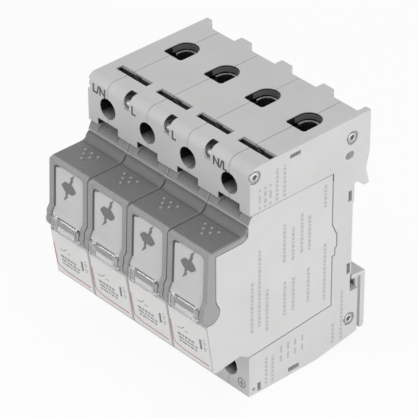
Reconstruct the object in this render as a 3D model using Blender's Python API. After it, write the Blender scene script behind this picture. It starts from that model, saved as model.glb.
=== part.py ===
"""Four-way plug-in surge arrester for a 35 mm rail.

A base of five riveted shells carries the terminals, and four cassettes plug into it from the front.
Every cassette has a swinging pull handle, a clear label flap and a status flag.
X runs along the rail, the front faces -Y and Z is up. All sizes below are in millimetres.
A depth is measured forward from the face that bears on the rail, so the rear has negative depths.
"""
import math

import bmesh
import bpy
from mathutils import Vector

MM = 0.001

# Overall
POLES = 4
PITCH = 17.8
FIT = 0.3
PARTING = 0.2
BLEED = 1.0
ROUND_SIDES = 16
ARC_STEPS = 5
HALF_WIDTH = POLES * PITCH / 2
CENTRES = [(pole - (POLES - 1) / 2) * PITCH for pole in range(POLES)]
BORDERS = [(left + right) / 2 for left, right in zip(CENTRES, CENTRES[1:])]

# Terminal chambers, whose depths add up from the rear to the front of the block
CHAMBER_REAR = 4.9
CHAMBER_HALF = 5.6
WIRE_OFFSET = 0.65
WIRE_SETBACK = 1.7
WIRE_RADIUS = 4.0
WIRE_STRAIGHT = 6.0
WIRE_REAR = CHAMBER_REAR + WIRE_SETBACK
WIRE_FRONT = WIRE_REAR + WIRE_RADIUS + WIRE_STRAIGHT
STRIP = 1.0
STRIP_HALF = 3.0
STRIP_PLAY = 0.8
STRIP_OVERRUN = 0.9
STRIP_DEPTH = WIRE_FRONT + STRIP_PLAY
CAGE_HALF = 5.2
CAGE_WALL = 1.2
CAGE_NUT = 3.0
CAGE_TRAVEL = 5.0
CAGE_STOP = 0.4
CAGE_REAR = CHAMBER_REAR + FIT
CAGE_FRONT = STRIP_DEPTH + STRIP + STRIP_PLAY + CAGE_NUT
CHAMBER_FRONT = CAGE_FRONT + CAGE_TRAVEL + CAGE_STOP
SEAT_WALL = 2.2
BORE_LENGTH = 11.8
SCREW_SEAT_DEPTH = CHAMBER_FRONT + SEAT_WALL
BLOCK_DEPTH = SCREW_SEAT_DEPTH + BORE_LENGTH

# Rail, and the heights of the terminal block from its underside up
RAIL = 35.0
RAIL_TOP = 57.8
UNDERSIDE_RISE = 7.2
ROOF = 2.0
CAGE_HEIGHT = 8.0
ROOM_ABOVE = 2.6
ROOM_BELOW = 1.8
BLOCK_FLOOR = 1.6
BLOCK_FILLET = 3.0
SCREW_BORE_RADIUS = 3.55
BLOCK_UNDERSIDE = RAIL_TOP + UNDERSIDE_RISE
CHAMBER_FLOOR = BLOCK_UNDERSIDE + BLOCK_FLOOR
SCREW_HEIGHT = CHAMBER_FLOOR + ROOM_BELOW + CAGE_HEIGHT / 2
CHAMBER_TOP = SCREW_HEIGHT + CAGE_HEIGHT / 2 + ROOM_ABOVE
HEIGHT = CHAMBER_TOP + ROOF

# Heights of the earth terminal and of the sill, from the foot up
EARTH_CHAMBER_FLOOR = 2.0
EARTH_ROOM_BELOW = 1.7
EARTH_ROOM_ABOVE = 2.2
EARTH_BORE_RADIUS = 3.6
EARTH_HEIGHT = EARTH_CHAMBER_FLOOR + EARTH_ROOM_BELOW + CAGE_HEIGHT / 2
EARTH_CHAMBER_TOP = EARTH_HEIGHT + CAGE_HEIGHT / 2 + EARTH_ROOM_ABOVE
SILL_WALL_REAR = 3.1
SILL_WALL_MID = 2.3
SILL_WALL_FRONT = 0.6
SILL_MID_DEPTH = 21.0
SILL_REAR = EARTH_CHAMBER_TOP + SILL_WALL_REAR
SILL_MID = EARTH_CHAMBER_TOP + SILL_WALL_MID
SILL_FRONT = EARTH_CHAMBER_TOP + SILL_WALL_FRONT
FOOT_END_DEPTH = 14.0
HEEL_RISE = 2.8
HEEL_REACH = 3.0

# Rear wall with the sockets and the key between them
WALL_DEPTH = 8.1
WALL_TAPER = 0.2
WALL_DEPTH_LOW = WALL_DEPTH - WALL_TAPER
SOCKET_LIP = 0.5
CONTACT_DEPTH = 2.2
CONTACT_ARM = 0.6
CONTACT_GAP = 0.3
CONTACT_SPAN = 6.0
CONTACT_REACH = WALL_DEPTH_LOW - SOCKET_LIP
BUS_SETBACK = 0.7
BUS_DEPTH = CONTACT_DEPTH + BUS_SETBACK
BUS_SPAN = 7.0
LINE_DROP = 10.0
LINE_HEIGHT = BLOCK_UNDERSIDE - LINE_DROP
KEY_GAP = 5.1
KEY_RAMP = 4.3
KEY_FLAT = 4.6
KEY_LEDGE = 2.8
KEY_SINK = 2.0
KEY_STEP = 0.7
KEY_DEPTH = WALL_DEPTH - KEY_SINK
KEY_STEP_DEPTH = KEY_DEPTH + KEY_STEP
KEY_TOP = LINE_HEIGHT - CONTACT_SPAN / 2 - KEY_GAP
KEY_SHOULDER = KEY_TOP - KEY_RAMP
KEY_LOW = KEY_SHOULDER - KEY_FLAT
KEY_FOOT = KEY_LOW - KEY_LEDGE

# Rail seat, hook and ears
RAIL_PAD = 0.5
RAIL_PAD_HEIGHT = 7.2
RAIL_PAD_FOOT = RAIL_TOP - RAIL_PAD_HEIGHT
HOOK_GRIP = 2.4
HOOK_MOUTH = 2.1
HOOK_REACH = 6.6
HOOK_HEIGHT = 5.0
HOOK_NECK = 5.3
HOOK_TIP = RAIL_TOP - HOOK_GRIP
HOOK_HEAD = HOOK_TIP + HOOK_HEIGHT
REAR_REACH = 3.1
EAR_REACH = 6.5
EAR_RISE = 6.6
EAR_THICKNESS = 2.2
EAR_FOOT = HOOK_HEAD + EAR_RISE

# Rear tabs
TAB_WIDTH = 5.7
TAB_OFFSET = 0.9
TAB_REACH = 6.2
TAB_THICKNESS = 2.0
TAB_CHAMFER = 1.2

# Rail clip
CLIP_GRIP = 1.5
CLIP_ARM = 1.6
CLIP_TRAVEL = 3.6
CLIP_RELIEF = 0.4
CLIP_RELIEF_RISE = 1.1
CLIP_ARM_TOP = RAIL_TOP - RAIL + CLIP_GRIP
CLIP_SHELF = CLIP_ARM_TOP - CLIP_ARM - CLIP_TRAVEL - FIT
SEAT_FOOT = CLIP_ARM_TOP + CLIP_RELIEF_RISE
CLIP_END_GAP = 0.2
CLIP_BAR_FACE = 6.25
CLIP_BAR = 1.9
CLIP_LOW = 3.0
CLIP_CHAMFER = 1.2
CLIP_WEB = 1.0
CLIP_WEB_INSET = 1.2
TONGUE_OFFSET = -1.5
TONGUE_HALF = 1.5
TONGUE_HEAD_HALF = 3.0
TONGUE_HEAD_REAR = 5.0
TONGUE_HEAD_FRONT = 9.5
TONGUE_LOW = 10.0
TONGUE_HEIGHT = 5.0
TONGUE_HIGH = TONGUE_LOW + TONGUE_HEIGHT
TONGUES = [border + TONGUE_OFFSET for border in BORDERS]
POCKET_FLOOR = 3.4
DRIVER_HALF = 3.0
DRIVER_LOW = 4.6
DRIVER_HEIGHT = 2.0
SPRING_RADIUS = 1.7
SPRING_WIRE = 0.25
SPRING_TURNS = 4
SPRING_STEPS = 11
SPRING_SIDES = 6

# Comb slots, grooves and notches of the terminal block
COMB_LEFT = 5.3
COMB_BORDER = 0.4
COMB_RIGHT = PITCH / 2 - COMB_BORDER
COMB_SETBACK = 8.0
COMB_SLOT = 1.4
COMB_RAMP = 1.5
COMB_FRONT = BLOCK_DEPTH - COMB_SETBACK
COMB_REAR = COMB_FRONT - COMB_SLOT
COMB_RAMP_REAR = COMB_REAR - COMB_RAMP
COMB_FLOOR = HEIGHT - 8.0
COMB_RAMP_FOOT = HEIGHT - 1.6
GROOVE_LEFT = 1.6
GROOVE_RIGHT = 0.9
GROOVE_REAR = BLOCK_DEPTH - 3.2
GROOVE_FOOT = HEIGHT - 5.1
NOTCH_LEFT = 4.7
NOTCH_RIGHT = 4.5
NOTCH_RISE = 2.4
NOTCH_RUN = 6.0

# Side face details, as front, rear, low and high
RECESS_DEPTH = 1.0
SLOT_SINK = 2.5
DIMPLE_RADIUS = 0.6
DIMPLE = (BLOCK_DEPTH - 1.9, 2.1)
SLOT_TOP = (26.0, 21.7, HEIGHT - 3.0, HEIGHT - 1.7)
SLOT_BOTTOM = (25.7, 21.2, 1.2, 2.8)
SLOT_UPPER = (1.9, 0.5, RAIL_TOP - 5.7, RAIL_TOP - 2.0)
SLOT_LOWER = (1.9, 0.5, CLIP_ARM_TOP + 1.6, CLIP_ARM_TOP + 5.4)
SLOT_FOOT = (BLOCK_DEPTH - 3.4, BLOCK_DEPTH - 4.8, 0.6, 3.6)
OVAL = (3.6, 0.0, HEIGHT - 13.7, HEIGHT - 11.2)

# Rivets, placed as depth and height
RIVET_RADIUS = 1.1
RIVET_HEAD_RADIUS = 1.7
RIVET_HEAD_HEIGHT = 0.7
RIVET_EYE_RADIUS = 0.75
RIVET_RECESS_RADIUS = 2.3
RIVET_FRONT = (BLOCK_DEPTH - 1.9, HEIGHT - 3.4)
RIVET_REAR = (0.9, HEIGHT - 6.7)
RIVET_LOW = (0.5, 8.8)
RIVET_LOW_LENGTH = 11.5
RIVET_PLAY = 0.25

# Terminal screws
SCREW_RADIUS = 2.3
SCREW_HEAD_RADIUS = 2.85
SCREW_HEAD_HEIGHT = 2.9
SCREW_SLOT = 0.9
SCREW_SLOT_DEPTH = 1.4

# Plug-in cassettes
CASSETTE_GAP = 0.4
HALF = (PITCH - CASSETTE_GAP) / 2
NOSE_REACH = 15.8
NOSE_DROP = 5.9
NOSE_LEAN = 0.7
NOSE_CHIN = 1.4
NOSE_DEPTH = BLOCK_DEPTH + NOSE_REACH
NOSE_TOP = BLOCK_UNDERSIDE - NOSE_DROP
RIDGE_GAP = 0.4
RIDGE_RISE = 2.8
RIDGE_RUN = 1.0
RIDGE_TOP_DROP = 0.7
RIDGE_DEPTH = BLOCK_DEPTH + RIDGE_GAP
RIDGE_FOOT = NOSE_TOP + RIDGE_RISE
SCOOP_LIP = 0.15
SCOOP_RISE = 0.5
SCOOP_RUN = 4.0

# Handle, whose pivot places the front of the nose
PIVOT_HEIGHT = 37.3
PIVOT_SETBACK = 0.9
PIVOT_DEPTH = NOSE_DEPTH - PIVOT_SETBACK
EAR_RADIUS = 3.2
PIN_RADIUS = 1.3
PIN_LENGTH = 1.2
ARM_THICKNESS = 1.9
ARM_WIDTH = 2.6
ARM_RISE = 1.2
ARM_INNER = HALF - ARM_THICKNESS
ARM_REAR = NOSE_DEPTH - ARM_WIDTH
ARM_ELBOW = PIVOT_HEIGHT + EAR_RADIUS + ARM_RISE
PLATE_THICKNESS = 1.9
PLATE_ROUND = 1.4
PLATE_SWEEP = 2.5
PLATE_REAR_GAP = 0.3
PLATE_LIP = 0.5
PLATE_UNDERCUT = 1.1
PLATE_UNDER = NOSE_TOP - PLATE_THICKNESS
WINDOW_ROUND = 1.8
SIDE_ROUND = 0.8
DOT_RADIUS = 0.45
DOT_HEIGHT = 0.25
DOT_PITCH = 2.9
DOT_ROW = 2.0
DOT_MARGIN = 2.3
DOT_FIRST_ROW = RIDGE_DEPTH + PLATE_REAR_GAP + PLATE_LIP + PLATE_SWEEP + DOT_MARGIN
DOT_SIDES = 6

# Front of the nose below the handle
SHOULDER_RISE = 1.8
NOSE_SHOULDER = PIVOT_HEIGHT + EAR_RADIUS + SHOULDER_RISE
PANEL_INSET = 0.4
PANEL_LIP_RISE = 2.4
PANEL_LIP = PIVOT_DEPTH + PANEL_LIP_RISE
PANEL_LIP_HEIGHT = PIVOT_HEIGHT + PANEL_LIP_RISE
RECESS_BACK = PIVOT_DEPTH + 1.0
LABEL_DROP = 0.5
LABEL_REACH = 1.6
LABEL_LEAN = 2.5
LABEL_CHIN = 1.5
CHIN_LIFT = 0.8
BELLY_RUN = 3.4
BELLY_RISE = 2.2
LABEL_TOP = PIVOT_HEIGHT - EAR_RADIUS - LABEL_DROP
LABEL_TOP_DEPTH = PIVOT_DEPTH + LABEL_REACH
LABEL_FOOT = SILL_FRONT + LABEL_CHIN
LABEL_FOOT_DEPTH = LABEL_TOP_DEPTH - LABEL_LEAN

# Label flap
FLAP_GAP = 0.4
FLAP_THICKNESS = 0.65
FLAP_POST = 2.1
FLAP_POST_GAP = 0.45
FLAP_EYE = 0.5
FLAP_LIFT = 0.9
FLAP_SETBACK = 0.05
FLAP_PIN_RADIUS = 0.35
FLAP_PIN_LENGTH = 1.2
FLAP_HALF = ARM_INNER - FLAP_GAP
FLAP_LOW = LABEL_TOP + FLAP_LIFT
FLAP_HIGH = PANEL_LIP_HEIGHT - FLAP_GAP
FLAP_FRONT = PIVOT_DEPTH + EAR_RADIUS - FLAP_SETBACK
FLAP_POST_REAR = RECESS_BACK + FLAP_POST_GAP
FLAP_HINGE_DEPTH = FLAP_POST_REAR + FLAP_EYE
FLAP_HINGE_HEIGHT = FLAP_LOW + FLAP_EYE
CARRIER_FRONT = FLAP_FRONT - FLAP_THICKNESS - FIT

# Space inside a cassette
CAVITY_WALL = 1.5
CAVITY_END_WALL = 2.3
CAVITY_RIDGE_WALL = 2.0
CAVITY_STEP_DROP = 4.2
CAVITY_FRONT_SETBACK = 6.1
CAVITY_LABEL_WALL = 2.9
CAVITY_LABEL_DROP = 2.1
CAVITY_FOOT_WALL = 2.6
CAVITY_FLOOR_WALL = 1.2
CAVITY_REAR = WALL_DEPTH + CAVITY_END_WALL
CAVITY_TOP = BLOCK_UNDERSIDE - CAVITY_END_WALL
CAVITY_STEP_DEPTH = RIDGE_DEPTH - CAVITY_RIDGE_WALL
CAVITY_STEP = NOSE_TOP - CAVITY_STEP_DROP
CAVITY_FRONT = NOSE_DEPTH - CAVITY_FRONT_SETBACK
CAVITY_LABEL_DEPTH = LABEL_TOP_DEPTH - CAVITY_LABEL_WALL
CAVITY_LABEL_TOP = LABEL_TOP - CAVITY_LABEL_DROP
CAVITY_FOOT_DEPTH = LABEL_FOOT_DEPTH - CAVITY_FOOT_WALL
CAVITY_FLOOR = SILL_REAR + CAVITY_FLOOR_WALL
COVER_THICKNESS = 1.1
COVER_LEDGE = 0.9
COVER_PLAY = 0.2

# Blades, varistor and status flag
BLADE = 0.8
BLADE_HEIGHT = 5.4
BLADE_PLAY = 0.5
BLADE_SHOULDER = 1.8
BLADE_TIP = BUS_DEPTH + STRIP + BLADE_PLAY
EARTH_BLADE_HEIGHT = CAVITY_FLOOR + BLADE_HEIGHT / 2 + BLADE_SHOULDER + FIT
VARISTOR_SETBACK = 2.6
VARISTOR_SPACE = 2.5
VARISTOR_RISE = 2.8
VARISTOR_DROP = 2.9
VARISTOR_REAR = CAVITY_REAR + VARISTOR_SETBACK
VARISTOR_FRONT = CAVITY_STEP_DEPTH - VARISTOR_SPACE
VARISTOR_LOW = CAVITY_FLOOR + VARISTOR_RISE
VARISTOR_HIGH = CAVITY_STEP - VARISTOR_DROP
VARISTOR_HALF = 4.5
VARISTOR_ROUND = 2.0
STATUS_X = 4.6
STATUS_WIDTH = 0.9
STATUS_HEIGHT = 3.8
STATUS_RISE = 5.0
STATUS_LOW = CAVITY_FLOOR + STATUS_RISE
FLAG_HALF = 1.5
FLAG_SETBACK = 0.6
FLAG_HEADROOM = 3.0
FLAG_DEPTH = CAVITY_FRONT - FLAG_SETBACK
FLAG_THICKNESS = 2.0
FLAG_TOP = CAVITY_LABEL_TOP - FLAG_HEADROOM

# The whole depth, which places the rail face in the world
FRONT_REACH = PIVOT_DEPTH + EAR_RADIUS
RAIL_Y = (FRONT_REACH - HOOK_REACH) / 2


def world(x, depth, height):
    """Turn millimetres across, forward of the rail and up into a world point in metres."""
    return Vector((x * MM, (RAIL_Y - depth) * MM, height * MM))


def arc(centre, radius, start, end, steps=ARC_STEPS):
    """Return points along an arc, with angles in degrees."""
    turn = [math.radians(start + (end - start) * step / steps) for step in range(steps + 1)]
    return [(centre[0] + radius * math.cos(a), centre[1] + radius * math.sin(a)) for a in turn]


def circle(centre, radius, sides=ROUND_SIDES):
    """Return the corners of a regular polygon that stands for a circle."""
    return arc(centre, radius, 0, 360, sides)[:-1]


def rectangle(first, second, low, high):
    """Return the corners of a rectangle in any plane."""
    return [(first, low), (second, low), (second, high), (first, high)]


def left_offset(points, distance, closed=False):
    """Shift an outline to the left of its direction, with mitred corners."""
    moved = []
    count = len(points)
    for index, point in enumerate(points):
        before = points[index - 1] if closed or index else None
        after = points[(index + 1) % count] if closed or index < count - 1 else None
        sides = []
        for start, end in ((before, point), (point, after)):
            if start is not None and end is not None:
                run, rise = end[0] - start[0], end[1] - start[1]
                length = math.hypot(run, rise)
                sides.append((-rise / length, run / length))
        if len(sides) == 2:
            scale = 1 + sides[0][0] * sides[1][0] + sides[0][1] * sides[1][1]
            shift = ((sides[0][0] + sides[1][0]) / scale, (sides[0][1] + sides[1][1]) / scale)
        else:
            shift = sides[0]
        moved.append((point[0] + shift[0] * distance, point[1] + shift[1] * distance))
    return moved


def prism(outline, axis, low, high):
    """Extrude an outline along X from (depth, height), along depth from (x, height), or along Z."""
    to_point = {
        "x": lambda pair, level: world(level, pair[0], pair[1]),
        "depth": lambda pair, level: world(pair[0], level, pair[1]),
        "z": lambda pair, level: world(pair[0], pair[1], level),
    }[axis]
    shape = bmesh.new()
    near = [shape.verts.new(to_point(pair, low)) for pair in outline]
    far = [shape.verts.new(to_point(pair, high)) for pair in outline]
    shape.faces.new(near)
    shape.faces.new(far)
    for index in range(len(outline)):
        follow = (index + 1) % len(outline)
        shape.faces.new((near[index], near[follow], far[follow], far[index]))
    bmesh.ops.recalc_face_normals(shape, faces=shape.faces)
    return shape


def block(x_low, x_high, depth_low, depth_high, low, high):
    """Return a box from its limits across, in depth and in height."""
    return prism(rectangle(depth_low, depth_high, low, high), "x", x_low, x_high)


def round_bevel(shape, width, chosen):
    """Round the edges of a shape that the test picks by the middle of each edge."""
    edges = [edge for edge in shape.edges if chosen((edge.verts[0].co + edge.verts[1].co) / 2, edge)]
    bmesh.ops.bevel(shape, geom=edges, offset=width * MM, segments=3, profile=0.5, affect="EDGES")


def to_object(shape, name):
    """Store a bmesh shape in a new object of the scene."""
    mesh = bpy.data.meshes.new(name)
    shape.to_mesh(mesh)
    shape.free()
    thing = bpy.data.objects.new(name, mesh)
    bpy.context.scene.collection.objects.link(thing)
    return thing


def combine(name, start, steps):
    """Union or cut shapes one after the other, and return the finished object."""
    thing = to_object(start, name)
    tools = []
    for operation, shape in steps:
        tool = to_object(shape, name + "_tool")
        tool.hide_render = True
        tool.display_type = "WIRE"
        modifier = thing.modifiers.new(operation.lower(), "BOOLEAN")
        modifier.operation = operation
        modifier.object = tool
        tools.append(tool)
    bpy.context.view_layer.update()
    graph = bpy.context.evaluated_depsgraph_get()
    baked = bpy.data.meshes.new_from_object(thing.evaluated_get(graph))
    thing.modifiers.clear()
    thing.data = baked
    for tool in tools:
        bpy.data.objects.remove(tool)
    return thing


def gather(shapes):
    """Put separate shapes that don't touch into one tool."""
    whole = bmesh.new()
    for shape in shapes:
        spare = bpy.data.meshes.new("spare")
        shape.to_mesh(spare)
        shape.free()
        whole.from_mesh(spare)
        bpy.data.meshes.remove(spare)
    return whole


def material(name, colour, roughness, metallic=0.0, alpha=1.0):
    """Make a plain material with a Principled shader."""
    made = bpy.data.materials.new(name)
    made.use_nodes = True
    shader = made.node_tree.nodes["Principled BSDF"]
    shader.inputs["Base Color"].default_value = (*colour, 1.0)
    shader.inputs["Roughness"].default_value = roughness
    shader.inputs["Metallic"].default_value = metallic
    shader.inputs["Alpha"].default_value = alpha
    return made


def finish(thing, surface, origin, parent=None):
    """Move an object's origin to a joint or seat, smooth it, and give it its material and parent."""
    place = world(*origin)
    for vertex in thing.data.vertices:
        vertex.co -= place
    thing.data.shade_smooth()
    thing.data.set_sharp_from_angle(angle=math.radians(30))
    thing.data.materials.clear()
    thing.data.materials.append(surface)
    thing.parent = parent
    thing.location = place - (parent.location if parent else Vector())
    return thing


def repeat(thing, name, shift, parent):
    """Copy a finished object along X with its mesh shared."""
    twin = bpy.data.objects.new(name, thing.data)
    bpy.context.scene.collection.objects.link(twin)
    twin.parent = parent
    start = thing.location + (thing.parent.location if thing.parent else Vector())
    twin.location = start + Vector((shift * MM, 0, 0)) - (parent.location if parent else Vector())
    return twin


def bay_line():
    """Contour of the base behind the cassettes, from the block's lower edge round to the sill."""
    return [
        (BLOCK_DEPTH, BLOCK_UNDERSIDE),
        (WALL_DEPTH, BLOCK_UNDERSIDE),
        (WALL_DEPTH, KEY_TOP),
        (KEY_DEPTH, KEY_SHOULDER),
        (KEY_DEPTH, KEY_LOW),
        (KEY_STEP_DEPTH, KEY_LOW - PARTING),
        (KEY_STEP_DEPTH, KEY_FOOT),
        (WALL_DEPTH_LOW, KEY_FOOT),
        (WALL_DEPTH_LOW, SILL_REAR + FIT),
        (SILL_MID_DEPTH, SILL_MID),
        (BLOCK_DEPTH, SILL_FRONT),
    ]


def base_outline(is_end):
    """Side profile of a base shell, with the high ears on the two end shells only."""
    hook = [
        (CLIP_RELIEF, CLIP_SHELF),
        (CLIP_RELIEF, SEAT_FOOT),
        (0.0, SEAT_FOOT),
        (0.0, RAIL_PAD_FOOT),
        (-RAIL_PAD, RAIL_PAD_FOOT + 2 * RAIL_PAD),
        (-RAIL_PAD, RAIL_TOP),
        (-HOOK_MOUTH, RAIL_TOP),
        (-HOOK_MOUTH - (RAIL_TOP - HOOK_TIP), HOOK_TIP),
        (-HOOK_REACH, HOOK_TIP),
        (-HOOK_NECK, HOOK_HEAD),
    ]
    rear = [(-REAR_REACH, HOOK_HEAD), (-REAR_REACH, HEIGHT)]
    if is_end:
        rear = [(-HOOK_NECK, EAR_FOOT - HOOK_HEIGHT), (-EAR_REACH, EAR_FOOT), (-EAR_REACH, HEIGHT)]
    nose = arc((BLOCK_DEPTH - BLOCK_FILLET, HEIGHT - BLOCK_FILLET), BLOCK_FILLET, 90, 0)
    foot = [(BLOCK_DEPTH, 0.0), (FOOT_END_DEPTH, 0.0), (-HEEL_REACH, HEEL_RISE)]
    return foot + [(-HEEL_REACH, CLIP_SHELF)] + hook + rear + nose + bay_line()


def chamber_tools():
    """Hollows round the cages, the strips, the bus and the clip's tongues."""
    top = CHAMBER_FLOOR + STRIP + 2 * FIT
    slim = STRIP_HALF + FIT
    tools = []
    for centre in CENTRES:
        outline = [
            (CHAMBER_FRONT, CHAMBER_FLOOR),
            (CHAMBER_FRONT, CHAMBER_TOP),
            (CHAMBER_REAR, CHAMBER_TOP),
            (CHAMBER_REAR, CHAMBER_FLOOR),
        ]
        tools.append(prism(outline, "x", centre - CHAMBER_HALF, centre + CHAMBER_HALF))
    earth = CENTRES[-1]
    ends = (earth - CHAMBER_HALF, earth + CHAMBER_HALF)
    levels = (EARTH_CHAMBER_FLOOR, EARTH_CHAMBER_TOP)
    tools.append(block(*ends, CHAMBER_REAR, CHAMBER_FRONT, *levels))
    for middle in TONGUES:
        half = TONGUE_HEAD_HALF + FIT
        rear, front = TONGUE_HEAD_REAR - FIT, TONGUE_HEAD_FRONT + FIT
        tools.append(block(middle - half, middle + half, rear, front, POCKET_FLOOR, TONGUE_HIGH + FIT))
    strips = []
    for centre in CENTRES:
        outline = [
            (CHAMBER_REAR + BLEED, CHAMBER_FLOOR),
            (CHAMBER_REAR + BLEED, top),
            (CONTACT_DEPTH - FIT, top),
            (CONTACT_DEPTH - FIT, LINE_HEIGHT - CONTACT_SPAN / 2 - FIT),
            (CONTACT_DEPTH + STRIP + FIT, LINE_HEIGHT - CONTACT_SPAN / 2 - FIT),
            (CONTACT_DEPTH + STRIP + FIT, CHAMBER_FLOOR),
        ]
        strips.append(prism(outline, "x", centre - slim, centre + slim))
    bus_low, bus_high = EARTH_BLADE_HEIGHT - BUS_SPAN / 2 - FIT, EARTH_BLADE_HEIGHT + BUS_SPAN / 2 + FIT
    bus_rear, bus_front = BUS_DEPTH - FIT, BUS_DEPTH + STRIP + FIT
    strips.append(block(CENTRES[0] - slim, CENTRES[-1] + slim, bus_rear, bus_front, bus_low, bus_high))
    slots = []
    for middle in TONGUES:
        left, right = middle - TONGUE_HALF - FIT, middle + TONGUE_HALF + FIT
        low, high = TONGUE_LOW - CLIP_TRAVEL - FIT, TONGUE_HIGH + FIT
        slots.append(block(left, right, -HEEL_REACH - BLEED, TONGUE_HEAD_REAR, low, high))
    leg_low = EARTH_CHAMBER_TOP - STRIP - 2 * FIT
    leg = [
        (CHAMBER_REAR + BLEED, leg_low),
        (CHAMBER_REAR + BLEED, EARTH_CHAMBER_TOP),
        (bus_front, EARTH_CHAMBER_TOP),
        (bus_front, bus_low + BLEED),
        (bus_rear, bus_low + BLEED),
        (bus_rear, leg_low),
    ]
    slots.append(prism(leg, "x", earth - slim, earth + slim))
    return [gather(tools), gather(strips), gather(slots)]


def socket_tools():
    """Pockets in the rear wall that take the cassettes' blades and the contacts round them."""
    half = BLADE / 2 + CONTACT_GAP + CONTACT_ARM + FIT
    tools = []
    for centre in CENTRES:
        for rear, level in ((CONTACT_DEPTH, LINE_HEIGHT), (BUS_DEPTH, EARTH_BLADE_HEIGHT)):
            low, high = level - CONTACT_SPAN / 2 - FIT, level + CONTACT_SPAN / 2 + FIT
            tools.append(block(centre - half, centre + half, rear - FIT, WALL_DEPTH + BLEED, low, high))
    return gather(tools)


def bore_tools():
    """Screwdriver bores with the narrower holes for the shanks behind them."""
    wide, narrow = [], []
    posts = [(centre, SCREW_HEIGHT, SCREW_BORE_RADIUS) for centre in CENTRES]
    posts.append((CENTRES[-1], EARTH_HEIGHT, EARTH_BORE_RADIUS))
    for centre, level, radius in posts:
        wide.append(prism(circle((centre, level), radius), "depth", SCREW_SEAT_DEPTH, BLOCK_DEPTH + BLEED))
        hole = circle((centre, level), SCREW_RADIUS + FIT)
        narrow.append(prism(hole, "depth", CHAMBER_FRONT - BLEED, SCREW_SEAT_DEPTH + BLEED))
    return [gather(wide), gather(narrow)]


def wire_outline(centre):
    """Plan of a wire entry: square towards the front and half round towards the rail."""
    middle = centre + WIRE_OFFSET
    rear = arc((middle, WIRE_REAR + WIRE_RADIUS), WIRE_RADIUS, 180, 360, 2 * ARC_STEPS)
    corner = WIRE_RADIUS / 6
    front = [
        (middle + WIRE_RADIUS, WIRE_FRONT - corner),
        (middle + WIRE_RADIUS - corner, WIRE_FRONT),
        (middle - WIRE_RADIUS + corner, WIRE_FRONT),
        (middle - WIRE_RADIUS, WIRE_FRONT - corner),
    ]
    return rear + front


def wire_tools():
    """Wire entries in the top of the block and in the underside below the earth cage."""
    tools = [prism(wire_outline(centre), "z", CHAMBER_TOP - BLEED, HEIGHT + BLEED) for centre in CENTRES]
    tools.append(prism(wire_outline(CENTRES[-1]), "z", -BLEED, EARTH_CHAMBER_FLOOR + BLEED))
    return gather(tools)


def block_front_tools():
    """Comb slots, the grooves over the front edge and the notches in the lower edge."""
    tools = []
    comb = [
        (COMB_FRONT, HEIGHT + BLEED),
        (COMB_FRONT, COMB_FLOOR),
        (COMB_REAR, COMB_FLOOR),
        (COMB_REAR, COMB_RAMP_FOOT),
        (COMB_RAMP_REAR, HEIGHT),
        (COMB_RAMP_REAR, HEIGHT + BLEED),
    ]
    for centre in CENTRES:
        tools.append(prism(comb, "x", centre - COMB_LEFT, centre + COMB_RIGHT))
        low, high = BLOCK_UNDERSIDE - BLEED, BLOCK_UNDERSIDE + NOTCH_RISE
        left, right = centre - NOTCH_LEFT, centre + NOTCH_RIGHT
        tools.append(block(left, right, BLOCK_DEPTH - NOTCH_RUN, BLOCK_DEPTH + BLEED, low, high))
    for border in BORDERS:
        left, right = border - GROOVE_LEFT, border + GROOVE_RIGHT
        tools.append(block(left, right, GROOVE_REAR, BLOCK_DEPTH + BLEED, GROOVE_FOOT, HEIGHT + BLEED))
    return gather(tools)


def side_tools():
    """Slots and rivet recesses in the two outer faces."""
    tools = []
    for side in (-1, 1):
        face = side * HALF_WIDTH
        sink = sorted((face - side * SLOT_SINK, face + side * BLEED))
        for front, rear, low, high in (SLOT_TOP, SLOT_BOTTOM, SLOT_UPPER, SLOT_LOWER, SLOT_FOOT):
            tools.append(block(*sink, rear, front, low, high))
        tools.append(prism(circle(DIMPLE, DIMPLE_RADIUS, DOT_SIDES), "x", *sink))
        inner, outer = sorted((face - side * RECESS_DEPTH, face + side * BLEED))
        front, rear, low, high = OVAL
        radius = (high - low) / 2
        middle = (low + high) / 2
        oval = arc((front - radius, middle), radius, -90, 90) + arc((rear + radius, middle), radius, 90, 270)
        tools.append(prism(oval, "x", *sink))
        for place in (RIVET_FRONT, RIVET_REAR, RIVET_LOW):
            tools.append(prism(circle(place, RIVET_RECESS_RADIUS), "x", inner, outer))
    return gather(tools)


def rivet_tools():
    """Holes for the two long rivets and the two short ones."""
    radius = RIVET_RADIUS + RIVET_PLAY
    reach = HALF_WIDTH + BLEED
    tools = [prism(circle(place, radius), "x", -reach, reach) for place in (RIVET_FRONT, RIVET_REAR)]
    for side in (-1, 1):
        ends = sorted((side * reach, side * (HALF_WIDTH - RECESS_DEPTH - RIVET_LOW_LENGTH - FIT)))
        tools.append(prism(circle(RIVET_LOW, radius), "x", *ends))
    return gather(tools)


def ear_tool():
    """Room between the two ears, above the hook."""
    inner = HALF_WIDTH - EAR_THICKNESS
    return block(-inner, inner, -EAR_REACH - BLEED, -REAR_REACH, HOOK_HEAD, HEIGHT + BLEED)


def rear_tab(border):
    """Tab on the top rear edge of a middle shell, with one corner cut off."""
    left = border + TAB_OFFSET - TAB_WIDTH / 2
    right = left + TAB_WIDTH
    outline = [
        (left, BLEED - REAR_REACH),
        (left, -TAB_REACH),
        (right - TAB_CHAMFER, -TAB_REACH),
        (right, TAB_CHAMFER - TAB_REACH),
        (right, BLEED - REAR_REACH),
    ]
    return prism(outline, "z", HEIGHT - TAB_THICKNESS, HEIGHT)


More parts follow.
